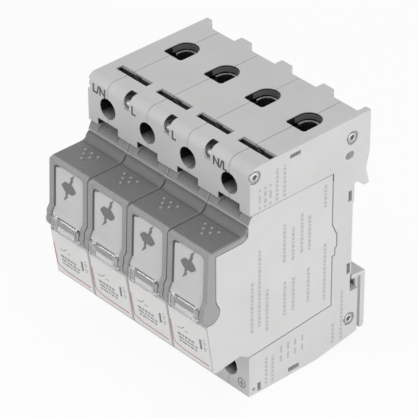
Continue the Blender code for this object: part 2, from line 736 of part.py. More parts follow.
def build_base(surface):
    """Build the five shells, which meet in the middle plane of each pole."""
    edges = [-HALF_WIDTH] + CENTRES + [HALF_WIDTH]
    last = len(edges) - 2
    for index in range(len(edges) - 1):
        is_end = index in (0, last)
        low = edges[index] + (PARTING / 2 if index else 0.0)
        high = edges[index + 1] - (PARTING / 2 if index < last else 0.0)
        tools = chamber_tools() + [socket_tools()] + bore_tools()
        tools += [wire_tools(), block_front_tools(), side_tools(), rivet_tools()]
        steps = [("DIFFERENCE", tool) for tool in tools]
        if is_end:
            steps.append(("DIFFERENCE", ear_tool()))
        else:
            steps.insert(0, ("UNION", rear_tab(BORDERS[index - 1])))
        shell = combine(f"base_shell_{index + 1}", prism(base_outline(is_end), "x", low, high), steps)
        finish(shell, surface, ((low + high) / 2, 0.0, 0.0))


def rivet(name, place, low, high, surface):
    """Build a rivet with a hollow head at each outer face that it reaches."""
    steps = []
    limit = HALF_WIDTH - BLEED - RECESS_DEPTH
    head_ends = [side for side, end in ((-1, low), (1, high)) if abs(end) > limit]
    for side in head_ends:
        face = side * (HALF_WIDTH - RECESS_DEPTH + RIVET_PLAY)
        outer = face + side * RIVET_HEAD_HEIGHT
        head = prism(circle(place, RIVET_HEAD_RADIUS), "x", *sorted((face, outer)))
        steps.append(("UNION", head))
        eye = prism(circle(place, RIVET_EYE_RADIUS, DOT_SIDES), "x", *sorted((face, outer + side * BLEED)))
        steps.append(("DIFFERENCE", eye))
    thing = combine(name, prism(circle(place, RIVET_RADIUS), "x", low, high), steps)
    finish(thing, surface, ((low + high) / 2, *place))


def build_rivets(surface):
    """Build two rivets right through the base and one short one at each lower rear corner."""
    seat = HALF_WIDTH - RECESS_DEPTH + RIVET_PLAY + RIVET_HEAD_HEIGHT / 2
    rivet("rivet_front", RIVET_FRONT, -seat, seat, surface)
    rivet("rivet_rear", RIVET_REAR, -seat, seat, surface)
    inner = HALF_WIDTH - RECESS_DEPTH - RIVET_LOW_LENGTH
    rivet("rivet_low_left", RIVET_LOW, -seat, -inner, surface)
    rivet("rivet_low_right", RIVET_LOW, inner, seat, surface)


def screw(name, centre, level, surface):
    """Build a terminal screw with a slotted head, its tip against the strip in the cage."""
    seat = SCREW_SEAT_DEPTH + FIT
    face = seat + SCREW_HEAD_HEIGHT
    tip = STRIP_DEPTH + STRIP + FIT
    shank = prism(circle((centre, level), SCREW_RADIUS), "depth", tip, seat + BLEED)
    head = prism(circle((centre, level), SCREW_HEAD_RADIUS), "depth", seat, face)
    rim = face * MM
    round_bevel(head, FIT, lambda middle, edge: abs(RAIL_Y * MM - middle.y - rim) < PARTING * MM)
    half = SCREW_SLOT / 2
    reach = SCREW_HEAD_RADIUS + BLEED
    floor = face - SCREW_SLOT_DEPTH
    cross = block(centre - 3 * half, centre + 3 * half, floor, face + BLEED, level - half, level + half)
    slot = block(centre - half, centre + half, floor, face + BLEED, level - reach, level + reach)
    steps = [("UNION", head), ("DIFFERENCE", cross), ("DIFFERENCE", slot)]
    thing = combine(name, shank, steps)
    return finish(thing, surface, (centre, seat, level))


def cage(name, centre, level, surface):
    """Build a lifting cage: a steel ring round the wire, with a tapped front wall."""
    low, high = level - CAGE_HEIGHT / 2, level + CAGE_HEIGHT / 2
    outer = block(centre - CAGE_HALF, centre + CAGE_HALF, CAGE_REAR, CAGE_FRONT, low, high)
    round_bevel(outer, CAGE_WALL, lambda middle, edge: abs(edge.verts[0].co.z - edge.verts[1].co.z) > MM)
    inner_half = CAGE_HALF - CAGE_WALL
    rear, front = CAGE_REAR + CAGE_WALL, CAGE_FRONT - CAGE_NUT
    hollow = block(centre - inner_half, centre + inner_half, rear, front, low - BLEED, high + BLEED)
    hole = prism(circle((centre, level), SCREW_RADIUS + FIT), "depth", front - BLEED, CAGE_FRONT + BLEED)
    thing = combine(name, outer, [("DIFFERENCE", hollow), ("DIFFERENCE", hole)])
    return finish(thing, surface, (centre, CAGE_REAR, level))


def contact_arms(centre, rear, level):
    """Return the two spring arms that grip a cassette's blade."""
    arms = []
    for side in (-1, 1):
        inner = centre + side * (BLADE / 2 + CONTACT_GAP)
        outer = inner + side * CONTACT_ARM
        low, high = level - CONTACT_SPAN / 2, level + CONTACT_SPAN / 2
        arms.append(block(*sorted((inner, outer)), rear, CONTACT_REACH, low, high))
    return arms


def line_contact(centre, surface):
    """Build a bent strip from a terminal cage down to the upper socket of its cassette."""
    floor = CHAMBER_FLOOR + FIT
    tip = SCREW_HEIGHT + CAGE_HEIGHT / 2 + STRIP_OVERRUN
    foot = LINE_HEIGHT - CONTACT_SPAN / 2
    outline = [
        (STRIP_DEPTH + STRIP, tip),
        (STRIP_DEPTH + STRIP, floor),
        (CONTACT_DEPTH + STRIP, floor),
        (CONTACT_DEPTH + STRIP, foot),
        (CONTACT_DEPTH, foot),
        (CONTACT_DEPTH, floor + STRIP),
        (STRIP_DEPTH, floor + STRIP),
        (STRIP_DEPTH, tip),
    ]
    strip = prism(outline, "x", centre - STRIP_HALF, centre + STRIP_HALF)
    arms = contact_arms(centre, CONTACT_DEPTH + STRIP / 2, LINE_HEIGHT)
    thing = combine("line_contact_1", strip, [("UNION", arm) for arm in arms])
    return finish(thing, surface, (centre, CONTACT_DEPTH, LINE_HEIGHT))


def earth_bus(surface):
    """Build the bus that joins the four lower sockets and leads to the earth cage."""
    low, high = EARTH_BLADE_HEIGHT - BUS_SPAN / 2, EARTH_BLADE_HEIGHT + BUS_SPAN / 2
    left, right = CENTRES[0] - STRIP_HALF, CENTRES[-1] + STRIP_HALF
    bar = block(left, right, BUS_DEPTH, BUS_DEPTH + STRIP, low, high)
    ceiling = EARTH_CHAMBER_TOP - FIT
    tip = EARTH_HEIGHT - CAGE_HEIGHT / 2 - FIT
    leg = [
        (BUS_DEPTH + STRIP, low + BLEED),
        (BUS_DEPTH + STRIP, ceiling),
        (STRIP_DEPTH + STRIP, ceiling),
        (STRIP_DEPTH + STRIP, tip),
        (STRIP_DEPTH, tip),
        (STRIP_DEPTH, ceiling - STRIP),
        (BUS_DEPTH, ceiling - STRIP),
        (BUS_DEPTH, low + BLEED),
    ]
    earth = CENTRES[-1]
    steps = [("UNION", prism(leg, "x", earth - STRIP_HALF, earth + STRIP_HALF))]
    for centre in CENTRES:
        steps += [("UNION", arm) for arm in contact_arms(centre, BUS_DEPTH + STRIP / 2, EARTH_BLADE_HEIGHT)]
    thing = combine("earth_bus", bar, steps)
    finish(thing, surface, (0.0, BUS_DEPTH, EARTH_BLADE_HEIGHT))


def rail_clip(surface):
    """Build the sprung clip along the lower rear edge, with three tongues that slide in the base."""
    half = HALF_WIDTH - CLIP_END_GAP
    rear = -CLIP_BAR_FACE
    inner = rear + CLIP_BAR
    under = CLIP_ARM_TOP - CLIP_ARM
    outline = [
        (inner, CLIP_LOW),
        (inner, under),
        (-2 * FIT, under),
        (-2 * FIT, CLIP_ARM_TOP),
        (rear, CLIP_ARM_TOP - CLIP_ARM / 3),
        (rear, CLIP_LOW + CLIP_CHAMFER),
        (rear + CLIP_CHAMFER / 2, CLIP_LOW),
    ]
    bar = prism(outline, "x", -half, half)
    steps = []
    for side in (-1, 1):
        outer = side * (half - CLIP_WEB_INSET)
        ends = sorted((outer, outer - side * CLIP_WEB))
        web = block(*ends, inner - BLEED, -HEEL_REACH - FIT, CLIP_LOW + CLIP_CHAMFER, under + FIT)
        steps.append(("UNION", web))
    for middle in TONGUES:
        levels = (TONGUE_LOW, TONGUE_HIGH)
        narrow = (middle - TONGUE_HALF, middle + TONGUE_HALF)
        wide = (middle - TONGUE_HEAD_HALF, middle + TONGUE_HEAD_HALF)
        steps.append(("UNION", block(*narrow, inner - BLEED, TONGUE_HEAD_REAR + BLEED, *levels)))
        steps.append(("UNION", block(*wide, TONGUE_HEAD_REAR, TONGUE_HEAD_FRONT, *levels)))
    for border in BORDERS[::2]:
        high = DRIVER_LOW + DRIVER_HEIGHT
        ends = (border - DRIVER_HALF, border + DRIVER_HALF)
        window = block(*ends, rear - BLEED, inner + BLEED, DRIVER_LOW, high)
        steps.append(("DIFFERENCE", window))
    thing = combine("din_clip", bar, steps)
    finish(thing, surface, (0.0, -CLIP_BAR_FACE, CLIP_LOW))


def coil_spring(surface):
    """Sweep a round wire along the helix below the middle tongue."""
    low = POCKET_FLOOR + FIT + SPRING_WIRE
    high = TONGUE_LOW - FIT - SPRING_WIRE
    axis_depth = (TONGUE_HEAD_REAR + TONGUE_HEAD_FRONT) / 2
    axis_x = TONGUES[len(TONGUES) // 2]
    count = SPRING_TURNS * SPRING_STEPS
    shape = bmesh.new()
    rings = []
    for step in range(count + 1):
        turn = 2 * math.pi * step / SPRING_STEPS
        level = low + (high - low) * step / count
        ring = []
        for corner in range(SPRING_SIDES):
            swing = 2 * math.pi * corner / SPRING_SIDES
            reach = SPRING_RADIUS + SPRING_WIRE * math.cos(swing)
            height = level + SPRING_WIRE * math.sin(swing)
            across, ahead = reach * math.cos(turn), reach * math.sin(turn)
            ring.append(shape.verts.new(world(axis_x + across, axis_depth + ahead, height)))
        rings.append(ring)
    for first, second in zip(rings, rings[1:]):
        for corner in range(SPRING_SIDES):
            follow = (corner + 1) % SPRING_SIDES
            shape.faces.new((first[corner], first[follow], second[follow], second[corner]))
    shape.faces.new(rings[0])
    shape.faces.new(rings[-1])
    bmesh.ops.recalc_face_normals(shape, faces=shape.faces)
    thing = to_object(shape, "clip_spring")
    finish(thing, surface, (axis_x, axis_depth, POCKET_FLOOR))


def front_line(height):
    """Depth of the nose's front face at a height; the face leans forward towards its lower end."""
    return NOSE_DEPTH + NOSE_LEAN * (NOSE_TOP - height) / (NOSE_TOP - NOSE_SHOULDER)


def cassette_outline():
    """Side profile of a cassette: the bay's contour at a running gap, and the nose in front of it."""
    inside = left_offset(bay_line(), FIT)
    top = BLOCK_UNDERSIDE - FIT
    plate = PLATE_UNDER - FIT
    crest = RIDGE_DEPTH - RIDGE_RUN
    ridge = [(crest, top - RIDGE_TOP_DROP), (crest - RIDGE_TOP_DROP, top)]
    belly = inside[-1][1]
    nose = [
        (BLOCK_DEPTH + BELLY_RUN, belly + BELLY_RISE),
        (LABEL_FOOT_DEPTH - NOSE_CHIN, belly + CHIN_LIFT),
        (LABEL_FOOT_DEPTH, LABEL_FOOT),
        (LABEL_TOP_DEPTH, LABEL_TOP),
        (RECESS_BACK, LABEL_TOP + FIT),
        (RECESS_BACK, PANEL_LIP_HEIGHT - FIT / 2),
        (PANEL_LIP, PANEL_LIP_HEIGHT),
        (front_line(NOSE_SHOULDER) - PANEL_INSET, NOSE_SHOULDER),
        (front_line(plate) - PANEL_INSET, plate),
        (RIDGE_DEPTH + 2 * PLATE_UNDERCUT, plate),
        (RIDGE_DEPTH, plate + PLATE_UNDERCUT),
        (RIDGE_DEPTH, RIDGE_FOOT),
    ]
    return inside[1:] + nose + ridge


def arm_outline():
    """Side profile of a handle's arm: a column down the nose edge that ends in a round ear."""
    top = PLATE_UNDER + PLATE_THICKNESS / 2
    pivot = (PIVOT_DEPTH, PIVOT_HEIGHT)
    ear = arc(pivot, EAR_RADIUS, 30, -210, 2 * ARC_STEPS)
    elbow = (ARM_ELBOW + ear[-1][1]) / 2
    return [
        (ARM_REAR, top),
        (front_line(top), top),
        (front_line(NOSE_SHOULDER), NOSE_SHOULDER),
        (ear[0][0], (NOSE_SHOULDER + ear[0][1]) / 2),
        *ear,
        (ARM_REAR - FIT, elbow),
        (ARM_REAR, ARM_ELBOW),
    ]


def cavity_outline():
    """Side profile of the space inside a cassette."""
    return [
        (CAVITY_FOOT_DEPTH, CAVITY_FLOOR),
        (CAVITY_LABEL_DEPTH, CAVITY_LABEL_TOP),
        (CAVITY_FRONT, CAVITY_LABEL_TOP + CAVITY_WALL),
        (CAVITY_FRONT, CAVITY_STEP),
        (CAVITY_STEP_DEPTH, CAVITY_STEP),
        (CAVITY_STEP_DEPTH, CAVITY_TOP),
        (CAVITY_REAR, CAVITY_TOP),
        (CAVITY_REAR, CAVITY_FLOOR),
    ]


def corner_fill(centre, side, radius, grow):
    """Fill between a window's square corner and its round, in the plane of the front."""
    half = ARM_INNER - (FIT - grow if grow < FIT else 0.0)
    top = PLATE_UNDER - (FIT - grow if grow < FIT else 0.0)
    middle = (half - radius, top - radius)
    points = arc(middle, radius, 0, 90) + [(half - radius, top + BLEED), (half + BLEED, top + BLEED)]
    points.append((half + BLEED, top - radius))
    return [(centre + side * x, z) for x, z in points]


def scoop_tool(centre):
    """Sloping hollow in a cassette's upper ridge, below the notch of the block."""
    low, high = RIDGE_FOOT + SCOOP_RISE, BLOCK_UNDERSIDE + BLEED
    rear, front = RIDGE_DEPTH - SCOOP_RUN, RIDGE_DEPTH + BLEED
    slope = [(rear, BLOCK_UNDERSIDE), (RIDGE_DEPTH - SCOOP_LIP, low)]
    outline = [*slope, (front, low), (front, high), (rear, high)]
    return prism(outline, "x", centre - NOTCH_LEFT, centre + NOTCH_RIGHT)


def cassette_body(centre, surface):
    """Build a cassette's housing: a moulding open on its left, with the handle's pivot pins."""
    inner = ARM_INNER - FIT
    pocket = left_offset(arm_outline(), FIT, closed=True)
    steps = []
    for side in (-1, 1):
        ends = sorted((centre + side * inner, centre + side * (HALF + BLEED)))
        steps.append(("DIFFERENCE", prism(pocket, "x", *ends)))
        fill = corner_fill(centre, side, WINDOW_ROUND - FIT, 0.0)
        steps.append(("DIFFERENCE", prism(fill, "depth", ARM_REAR - FIT, PANEL_LIP + BLEED)))
    floor = centre - HALF + COVER_THICKNESS + FIT
    left = centre - HALF - BLEED
    rebate = left_offset(cavity_outline(), -COVER_LEDGE, closed=True)
    steps.append(("DIFFERENCE", prism(rebate, "x", left, floor)))
    steps.append(("DIFFERENCE", prism(cavity_outline(), "x", floor - FIT, centre + HALF - CAVITY_WALL)))
    steps.append(("DIFFERENCE", scoop_tool(centre)))
    half = BLADE / 2 + FIT
    for level in (LINE_HEIGHT, EARTH_BLADE_HEIGHT):
        low, high = level - BLADE_HEIGHT / 2 - FIT, level + BLADE_HEIGHT / 2 + FIT
        ends = (centre - half, centre + half)
        steps.append(("DIFFERENCE", block(*ends, KEY_DEPTH, CAVITY_REAR + BLEED, low, high)))
    status = centre + STATUS_X
    slot = (status - STATUS_WIDTH / 2, status + STATUS_WIDTH / 2)
    slot_rear = FLAG_DEPTH + FLAG_THICKNESS
    levels = (STATUS_LOW, STATUS_LOW + STATUS_HEIGHT)
    steps.append(("DIFFERENCE", block(*slot, slot_rear, LABEL_TOP_DEPTH + BLEED, *levels)))
    carrier = FLAP_HALF - FLAP_POST - FIT
    low, high = FLAP_LOW + FIT, FLAP_HIGH - FIT
    ends = (centre - carrier, centre + carrier)
    steps.append(("UNION", block(*ends, RECESS_BACK - BLEED, CARRIER_FRONT, low, high)))
    for side in (-1, 1):
        ends = sorted((centre + side * (inner - BLEED), centre + side * (inner + PIN_LENGTH)))
        pin = prism(circle((PIVOT_DEPTH, PIVOT_HEIGHT), PIN_RADIUS), "x", *ends)
        steps.append(("UNION", pin))
        ends = sorted((centre + side * (carrier - BLEED), centre + side * (carrier + FLAP_PIN_LENGTH)))
        hinge = circle((FLAP_HINGE_DEPTH, FLAP_HINGE_HEIGHT), FLAP_PIN_RADIUS, DOT_SIDES)
        steps.append(("UNION", prism(hinge, "x", *ends)))
    body = prism(cassette_outline(), "x", centre - HALF, centre + HALF)
    thing = combine("cassette_1_body", body, steps)
    return finish(thing, surface, (centre, 0.0, PIVOT_HEIGHT))


def cassette_cover(centre, surface):
    """Build the plate that closes a cassette's left side."""
    outline = left_offset(cavity_outline(), COVER_PLAY - COVER_LEDGE, closed=True)
    plate = prism(outline, "x", centre - HALF, centre - HALF + COVER_THICKNESS)
    return finish(to_object(plate, "cassette_1_cover"), surface, (centre, 0.0, PIVOT_HEIGHT))


def handle(centre, surface):
    """Build the pull handle: a top plate swept up at its rear, two arms with ears and grip dots."""
    rear = RIDGE_DEPTH + PLATE_REAR_GAP
    sweep = (rear + PLATE_LIP + PLATE_SWEEP, NOSE_TOP + PLATE_SWEEP)
    round_centre = (NOSE_DEPTH - PLATE_ROUND, NOSE_TOP - PLATE_ROUND)
    outline = [
        (NOSE_DEPTH, PLATE_UNDER),
        *arc(round_centre, PLATE_ROUND, 0, 90),
        *arc(sweep, PLATE_SWEEP, 270, 190),
        (rear, NOSE_TOP + PLATE_SWEEP),
        (rear, PLATE_UNDER + PLATE_UNDERCUT),
        (rear + 2 * PLATE_UNDERCUT, PLATE_UNDER),
    ]
    plate = prism(outline, "x", centre - HALF, centre + HALF)
    rim = (HALF - PARTING) * MM
    level = (NOSE_TOP - PLATE_ROUND / 2) * MM
    middle = centre * MM
    round_bevel(plate, SIDE_ROUND, lambda point, edge: abs(point.x - middle) > rim and point.z > level)
    steps = []
    for side in (-1, 1):
        ends = sorted((centre + side * ARM_INNER, centre + side * HALF))
        steps.append(("UNION", prism(arm_outline(), "x", *ends)))
        fill = corner_fill(centre, side, WINDOW_ROUND, FIT)
        left, right = centre - HALF + FIT, centre + HALF - FIT
        trimmed = [(min(max(x, left), right), min(z, PLATE_UNDER + FIT)) for x, z in fill]
        steps.append(("UNION", prism(trimmed, "depth", ARM_REAR, NOSE_DEPTH)))
        eye = circle((PIVOT_DEPTH, PIVOT_HEIGHT), PIN_RADIUS + FIT)
        ends = sorted((centre + side * (ARM_INNER - BLEED), centre + side * (ARM_INNER + PIN_LENGTH)))
        steps.append(("DIFFERENCE", prism(eye, "x", *ends)))
    dots = []
    for row in range(3):
        for column in range(3 - row):
            across = centre + (column - (2 - row) / 2) * DOT_PITCH
            spot = circle((across, DOT_FIRST_ROW + row * DOT_ROW), DOT_RADIUS, DOT_SIDES)
            dots.append(prism(spot, "z", NOSE_TOP - FIT, NOSE_TOP + DOT_HEIGHT))
    steps.append(("UNION", gather(dots)))
    thing = combine("cassette_1_handle", plate, steps)
    return finish(thing, surface, (centre, PIVOT_DEPTH, PIVOT_HEIGHT))


def label_flap(centre, surface):
    """Build the clear flap over the label, with a post at each end that turns on a pin."""
    rear = FLAP_FRONT - FLAP_THICKNESS
    pane = block(centre - FLAP_HALF, centre + FLAP_HALF, rear, FLAP_FRONT, FLAP_LOW, FLAP_HIGH)
    steps = []
    for side in (-1, 1):
        inner = centre + side * (FLAP_HALF - FLAP_POST)
        ends = sorted((inner, centre + side * FLAP_HALF))
        steps.append(("UNION", block(*ends, FLAP_POST_REAR, rear + FLAP_THICKNESS / 2, FLAP_LOW, FLAP_HIGH)))
        eye = circle((FLAP_HINGE_DEPTH, FLAP_HINGE_HEIGHT), FLAP_PIN_RADIUS + FIT / 2, DOT_SIDES)
        ends = sorted((inner - side * BLEED, inner + side * FLAP_PIN_LENGTH))
        steps.append(("DIFFERENCE", prism(eye, "x", *ends)))
    thing = combine("cassette_1_label_flap", pane, steps)
    return finish(thing, surface, (centre, FLAP_HINGE_DEPTH, FLAP_HINGE_HEIGHT))


def varistor(centre, surface):
    """Build the coated varistor block."""
    ends = (centre - VARISTOR_HALF, centre + VARISTOR_HALF)
    shape = block(*ends, VARISTOR_REAR, VARISTOR_FRONT, VARISTOR_LOW, VARISTOR_HIGH)
    round_bevel(shape, VARISTOR_ROUND, lambda point, edge: abs(point.x - centre * MM) < FIT * MM)
    return finish(to_object(shape, "cassette_1_varistor"), surface, (centre, VARISTOR_REAR, VARISTOR_LOW))


def blade_outline(level, inner):
    """Side profile of a plug blade with a shoulder that keeps it in its housing."""
    low, high = level - BLADE_HEIGHT / 2, level + BLADE_HEIGHT / 2
    chamfer = BLADE
    return [
        (BLADE_TIP, low + chamfer),
        (BLADE_TIP + chamfer, low),
        (CAVITY_REAR + FIT, low),
        (CAVITY_REAR + FIT, low - BLADE_SHOULDER),
        (inner, low - BLADE_SHOULDER),
        (inner, high + BLADE_SHOULDER),
        (CAVITY_REAR + FIT, high + BLADE_SHOULDER),
        (CAVITY_REAR + FIT, high),
        (BLADE_TIP + chamfer, high),
        (BLADE_TIP, high - chamfer),
    ]


def blades(centre, surface):
    """Build the upper and lower plug blades, which end beside the varistor's terminals."""
    made = []
    inner = VARISTOR_REAR - FIT
    for name, level in (("line_blade", LINE_HEIGHT), ("earth_blade", EARTH_BLADE_HEIGHT)):
        shape = prism(blade_outline(level, inner), "x", centre - BLADE / 2, centre + BLADE / 2)
        thing = to_object(shape, f"cassette_1_{name}")
        made.append(finish(thing, surface, (centre, BLADE_TIP, level)))
    return made


def status_flag(centre, surface):
    """Build the flag that shows in the slot of the label face."""
    left, right = centre + STATUS_X - FLAG_HALF, centre + STATUS_X + FLAG_HALF
    low = CAVITY_FLOOR + FIT
    shape = block(left, right, FLAG_DEPTH, FLAG_DEPTH + FLAG_THICKNESS, low, FLAG_TOP)
    return finish(to_object(shape, "cassette_1_status_flag"), surface, (centre + STATUS_X, FLAG_DEPTH, low))


def build_cassettes(light, cover, dark, clear, coating, copper, signal):
    """Build the first cassette's pieces and copy them along the rail."""
    centre = CENTRES[0]
    slide = bpy.data.objects.new("cassette_1_slide", None)
    bpy.context.scene.collection.objects.link(slide)
    slide.location = world(centre, 0.0, PIVOT_HEIGHT)
    pieces = [
        cassette_body(centre, light),
        cassette_cover(centre, cover),
        handle(centre, dark),
        label_flap(centre, clear),
        varistor(centre, coating),
        *blades(centre, copper),
        status_flag(centre, signal),
    ]
    for piece in pieces:
        piece.parent = slide
        piece.location -= slide.location
    for number, place in enumerate(CENTRES[1:], start=2):
        carrier = bpy.data.objects.new(f"cassette_{number}_slide", None)
        bpy.context.scene.collection.objects.link(carrier)
        carrier.location = world(place, 0.0, PIVOT_HEIGHT)
        for piece in pieces:
            name = piece.name.replace("cassette_1", f"cassette_{number}")
            repeat(piece, name, place - centre, carrier)


def build_terminals(steel, brass):
    """Build the screws, cages and strips of the four line terminals and of the earth terminal."""
    first = CENTRES[0]
    models = [
        screw("terminal_screw_1", first, SCREW_HEIGHT, steel),
        cage("terminal_cage_1", first, SCREW_HEIGHT, steel),
        line_contact(first, brass),
    ]
    for number, place in enumerate(CENTRES[1:], start=2):
        for model in models:
            repeat(model, model.name.replace("_1", f"_{number}"), place - first, None)
    screw("earth_screw", CENTRES[-1], EARTH_HEIGHT, steel)
    cage("earth_cage", CENTRES[-1], EARTH_HEIGHT, steel)
    earth_bus(brass)


def main():
    """Empty the scene and build every piece."""
    for thing in list(bpy.data.objects):
        bpy.data.objects.remove(thing)
    shell = material("base_plastic", (0.62, 0.62, 0.61), 0.45)
    light = material("cassette_plastic", (0.70, 0.70, 0.69), 0.42)
    cover = material("cover_plastic", (0.68, 0.68, 0.67), 0.42)
    dark = material("handle_plastic", (0.14, 0.14, 0.145), 0.5)
    clear = material("clear_plastic", (0.92, 0.93, 0.94), 0.08, alpha=0.35)
    steel = material("zinc_steel", (0.62, 0.62, 0.6), 0.35, metallic=1.0)
    rivet_steel = material("rivet_steel", (0.7, 0.7, 0.68), 0.3, metallic=1.0)
    brass = material("tinned_brass", (0.72, 0.62, 0.38), 0.35, metallic=1.0)
    copper = material("blade_copper", (0.75, 0.45, 0.3), 0.35, metallic=1.0)
    coating = material("varistor_coating", (0.08, 0.16, 0.4), 0.5)
    signal = material("flag_green", (0.1, 0.45, 0.16), 0.5)
    spring = material("spring_steel", (0.5, 0.5, 0.5), 0.3, metallic=1.0)
    build_base(shell)
    build_rivets(rivet_steel)
    build_terminals(steel, brass)
    rail_clip(light)
    coil_spring(spring)
    build_cassettes(light, cover, dark, clear, coating, copper, signal)


main()
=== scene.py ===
"""Looks of a four-way plug-in surge arrester for a 35 mm rail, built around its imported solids."""
import logging
import math
from dataclasses import dataclass
from enum import Enum
from typing import Sequence

import bpy
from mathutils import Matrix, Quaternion, Vector


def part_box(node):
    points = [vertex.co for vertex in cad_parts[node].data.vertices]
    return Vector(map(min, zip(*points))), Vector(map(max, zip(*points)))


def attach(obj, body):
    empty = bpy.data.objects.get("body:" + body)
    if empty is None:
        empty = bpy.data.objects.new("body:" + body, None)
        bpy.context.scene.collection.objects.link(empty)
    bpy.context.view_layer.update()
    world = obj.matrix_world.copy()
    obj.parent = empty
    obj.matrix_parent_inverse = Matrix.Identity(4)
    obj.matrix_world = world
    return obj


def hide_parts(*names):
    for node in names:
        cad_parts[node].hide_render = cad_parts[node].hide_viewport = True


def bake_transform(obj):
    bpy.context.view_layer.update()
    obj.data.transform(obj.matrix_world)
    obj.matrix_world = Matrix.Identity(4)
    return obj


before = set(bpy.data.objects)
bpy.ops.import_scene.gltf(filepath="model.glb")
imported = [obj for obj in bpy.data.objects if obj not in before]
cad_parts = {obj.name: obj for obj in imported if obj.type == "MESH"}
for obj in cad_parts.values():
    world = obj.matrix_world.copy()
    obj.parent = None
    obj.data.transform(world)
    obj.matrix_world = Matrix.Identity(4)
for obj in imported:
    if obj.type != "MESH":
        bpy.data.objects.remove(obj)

Piece = bpy.types.Object
Socket = bpy.types.NodeSocket
Material = bpy.types.Material
Outline = Sequence[tuple[float, float]]

MM = 0.001
LOG = logging.getLogger("surge_arrester")
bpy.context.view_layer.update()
POLES = (1, 2, 3, 4)
PITCH = 17.8
MERGE = 1e-6
# Angles in degrees, below which faces count as one flat face or as one curve
FLAT_ANGLE = 0.05
SMOOTH_ANGLE = 32.0
EDGE_STEPS = 2
# Thickness of print in millimetres, and how much bolder letters are, as a share of their size
PRINT = 0.02
LETTER_WEIGHT = 0.04
# Printed dashes in millimetres, and the share of its pitch that a shaded dash fills
DASH_WIDTH = 1.1
DASH_GAP = 0.4
DASH_LENGTHS = (1.3, 0.7, 1.0)
SHORTEST_DASH = 0.3
DASH_SHARE = 0.7
# Distance in millimetres over which a leaning shade deepens, to each side of its box's middle
SHADOW_REACH = 1.4


class Facing(Enum):
    """The way that a flat mark looks, as the turns in degrees that bring it there from the XY plane."""

    FRONT = (90.0, 0.0, 0.0)
    RIGHT = (90.0, 0.0, 90.0)
    TOP = (0.0, 0.0, 0.0)


@dataclass(frozen=True)
class Datum:
    """Reference planes of the device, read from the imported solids.

    Depth is measured forward from the flat rear wall that lies on the rail, in millimetres.
    """

    block_depth: float = 41.6

    def rail_y(self) -> float:
        """Return the Y of the rear wall in metres."""
        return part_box("base_shell_3")[0].y + self.block_depth * MM

    def point(self, x: float, depth: float, height: float) -> Vector:
        """Return the world point of a place given in millimetres.

        Args:
            x: distance across, from the middle of the device.
            depth: distance forward from the rear wall.
            height: distance up from the underside.

        Returns:
            The point in metres.
        """
        return Vector((x * MM, self.rail_y() - depth * MM, height * MM))

    def centre(self, pole: int) -> float:
        """Return the X of a pole's middle plane in millimetres."""
        low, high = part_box(f"cassette_{pole}_body")
        return (low.x + high.x) / 2 / MM


DATUM = Datum()


def pole_shift(pole: int) -> Vector:
    """Return the way from the first pole to another, in millimetres."""
    return Vector((PITCH * (pole - 1), 0.0, 0.0))


@dataclass(frozen=True)
class Spot:
    """Place and attitude of a piece that was drawn in the XY plane."""

    x: float
    depth: float
    height: float
    facing: Facing
    lean: float = 0.0


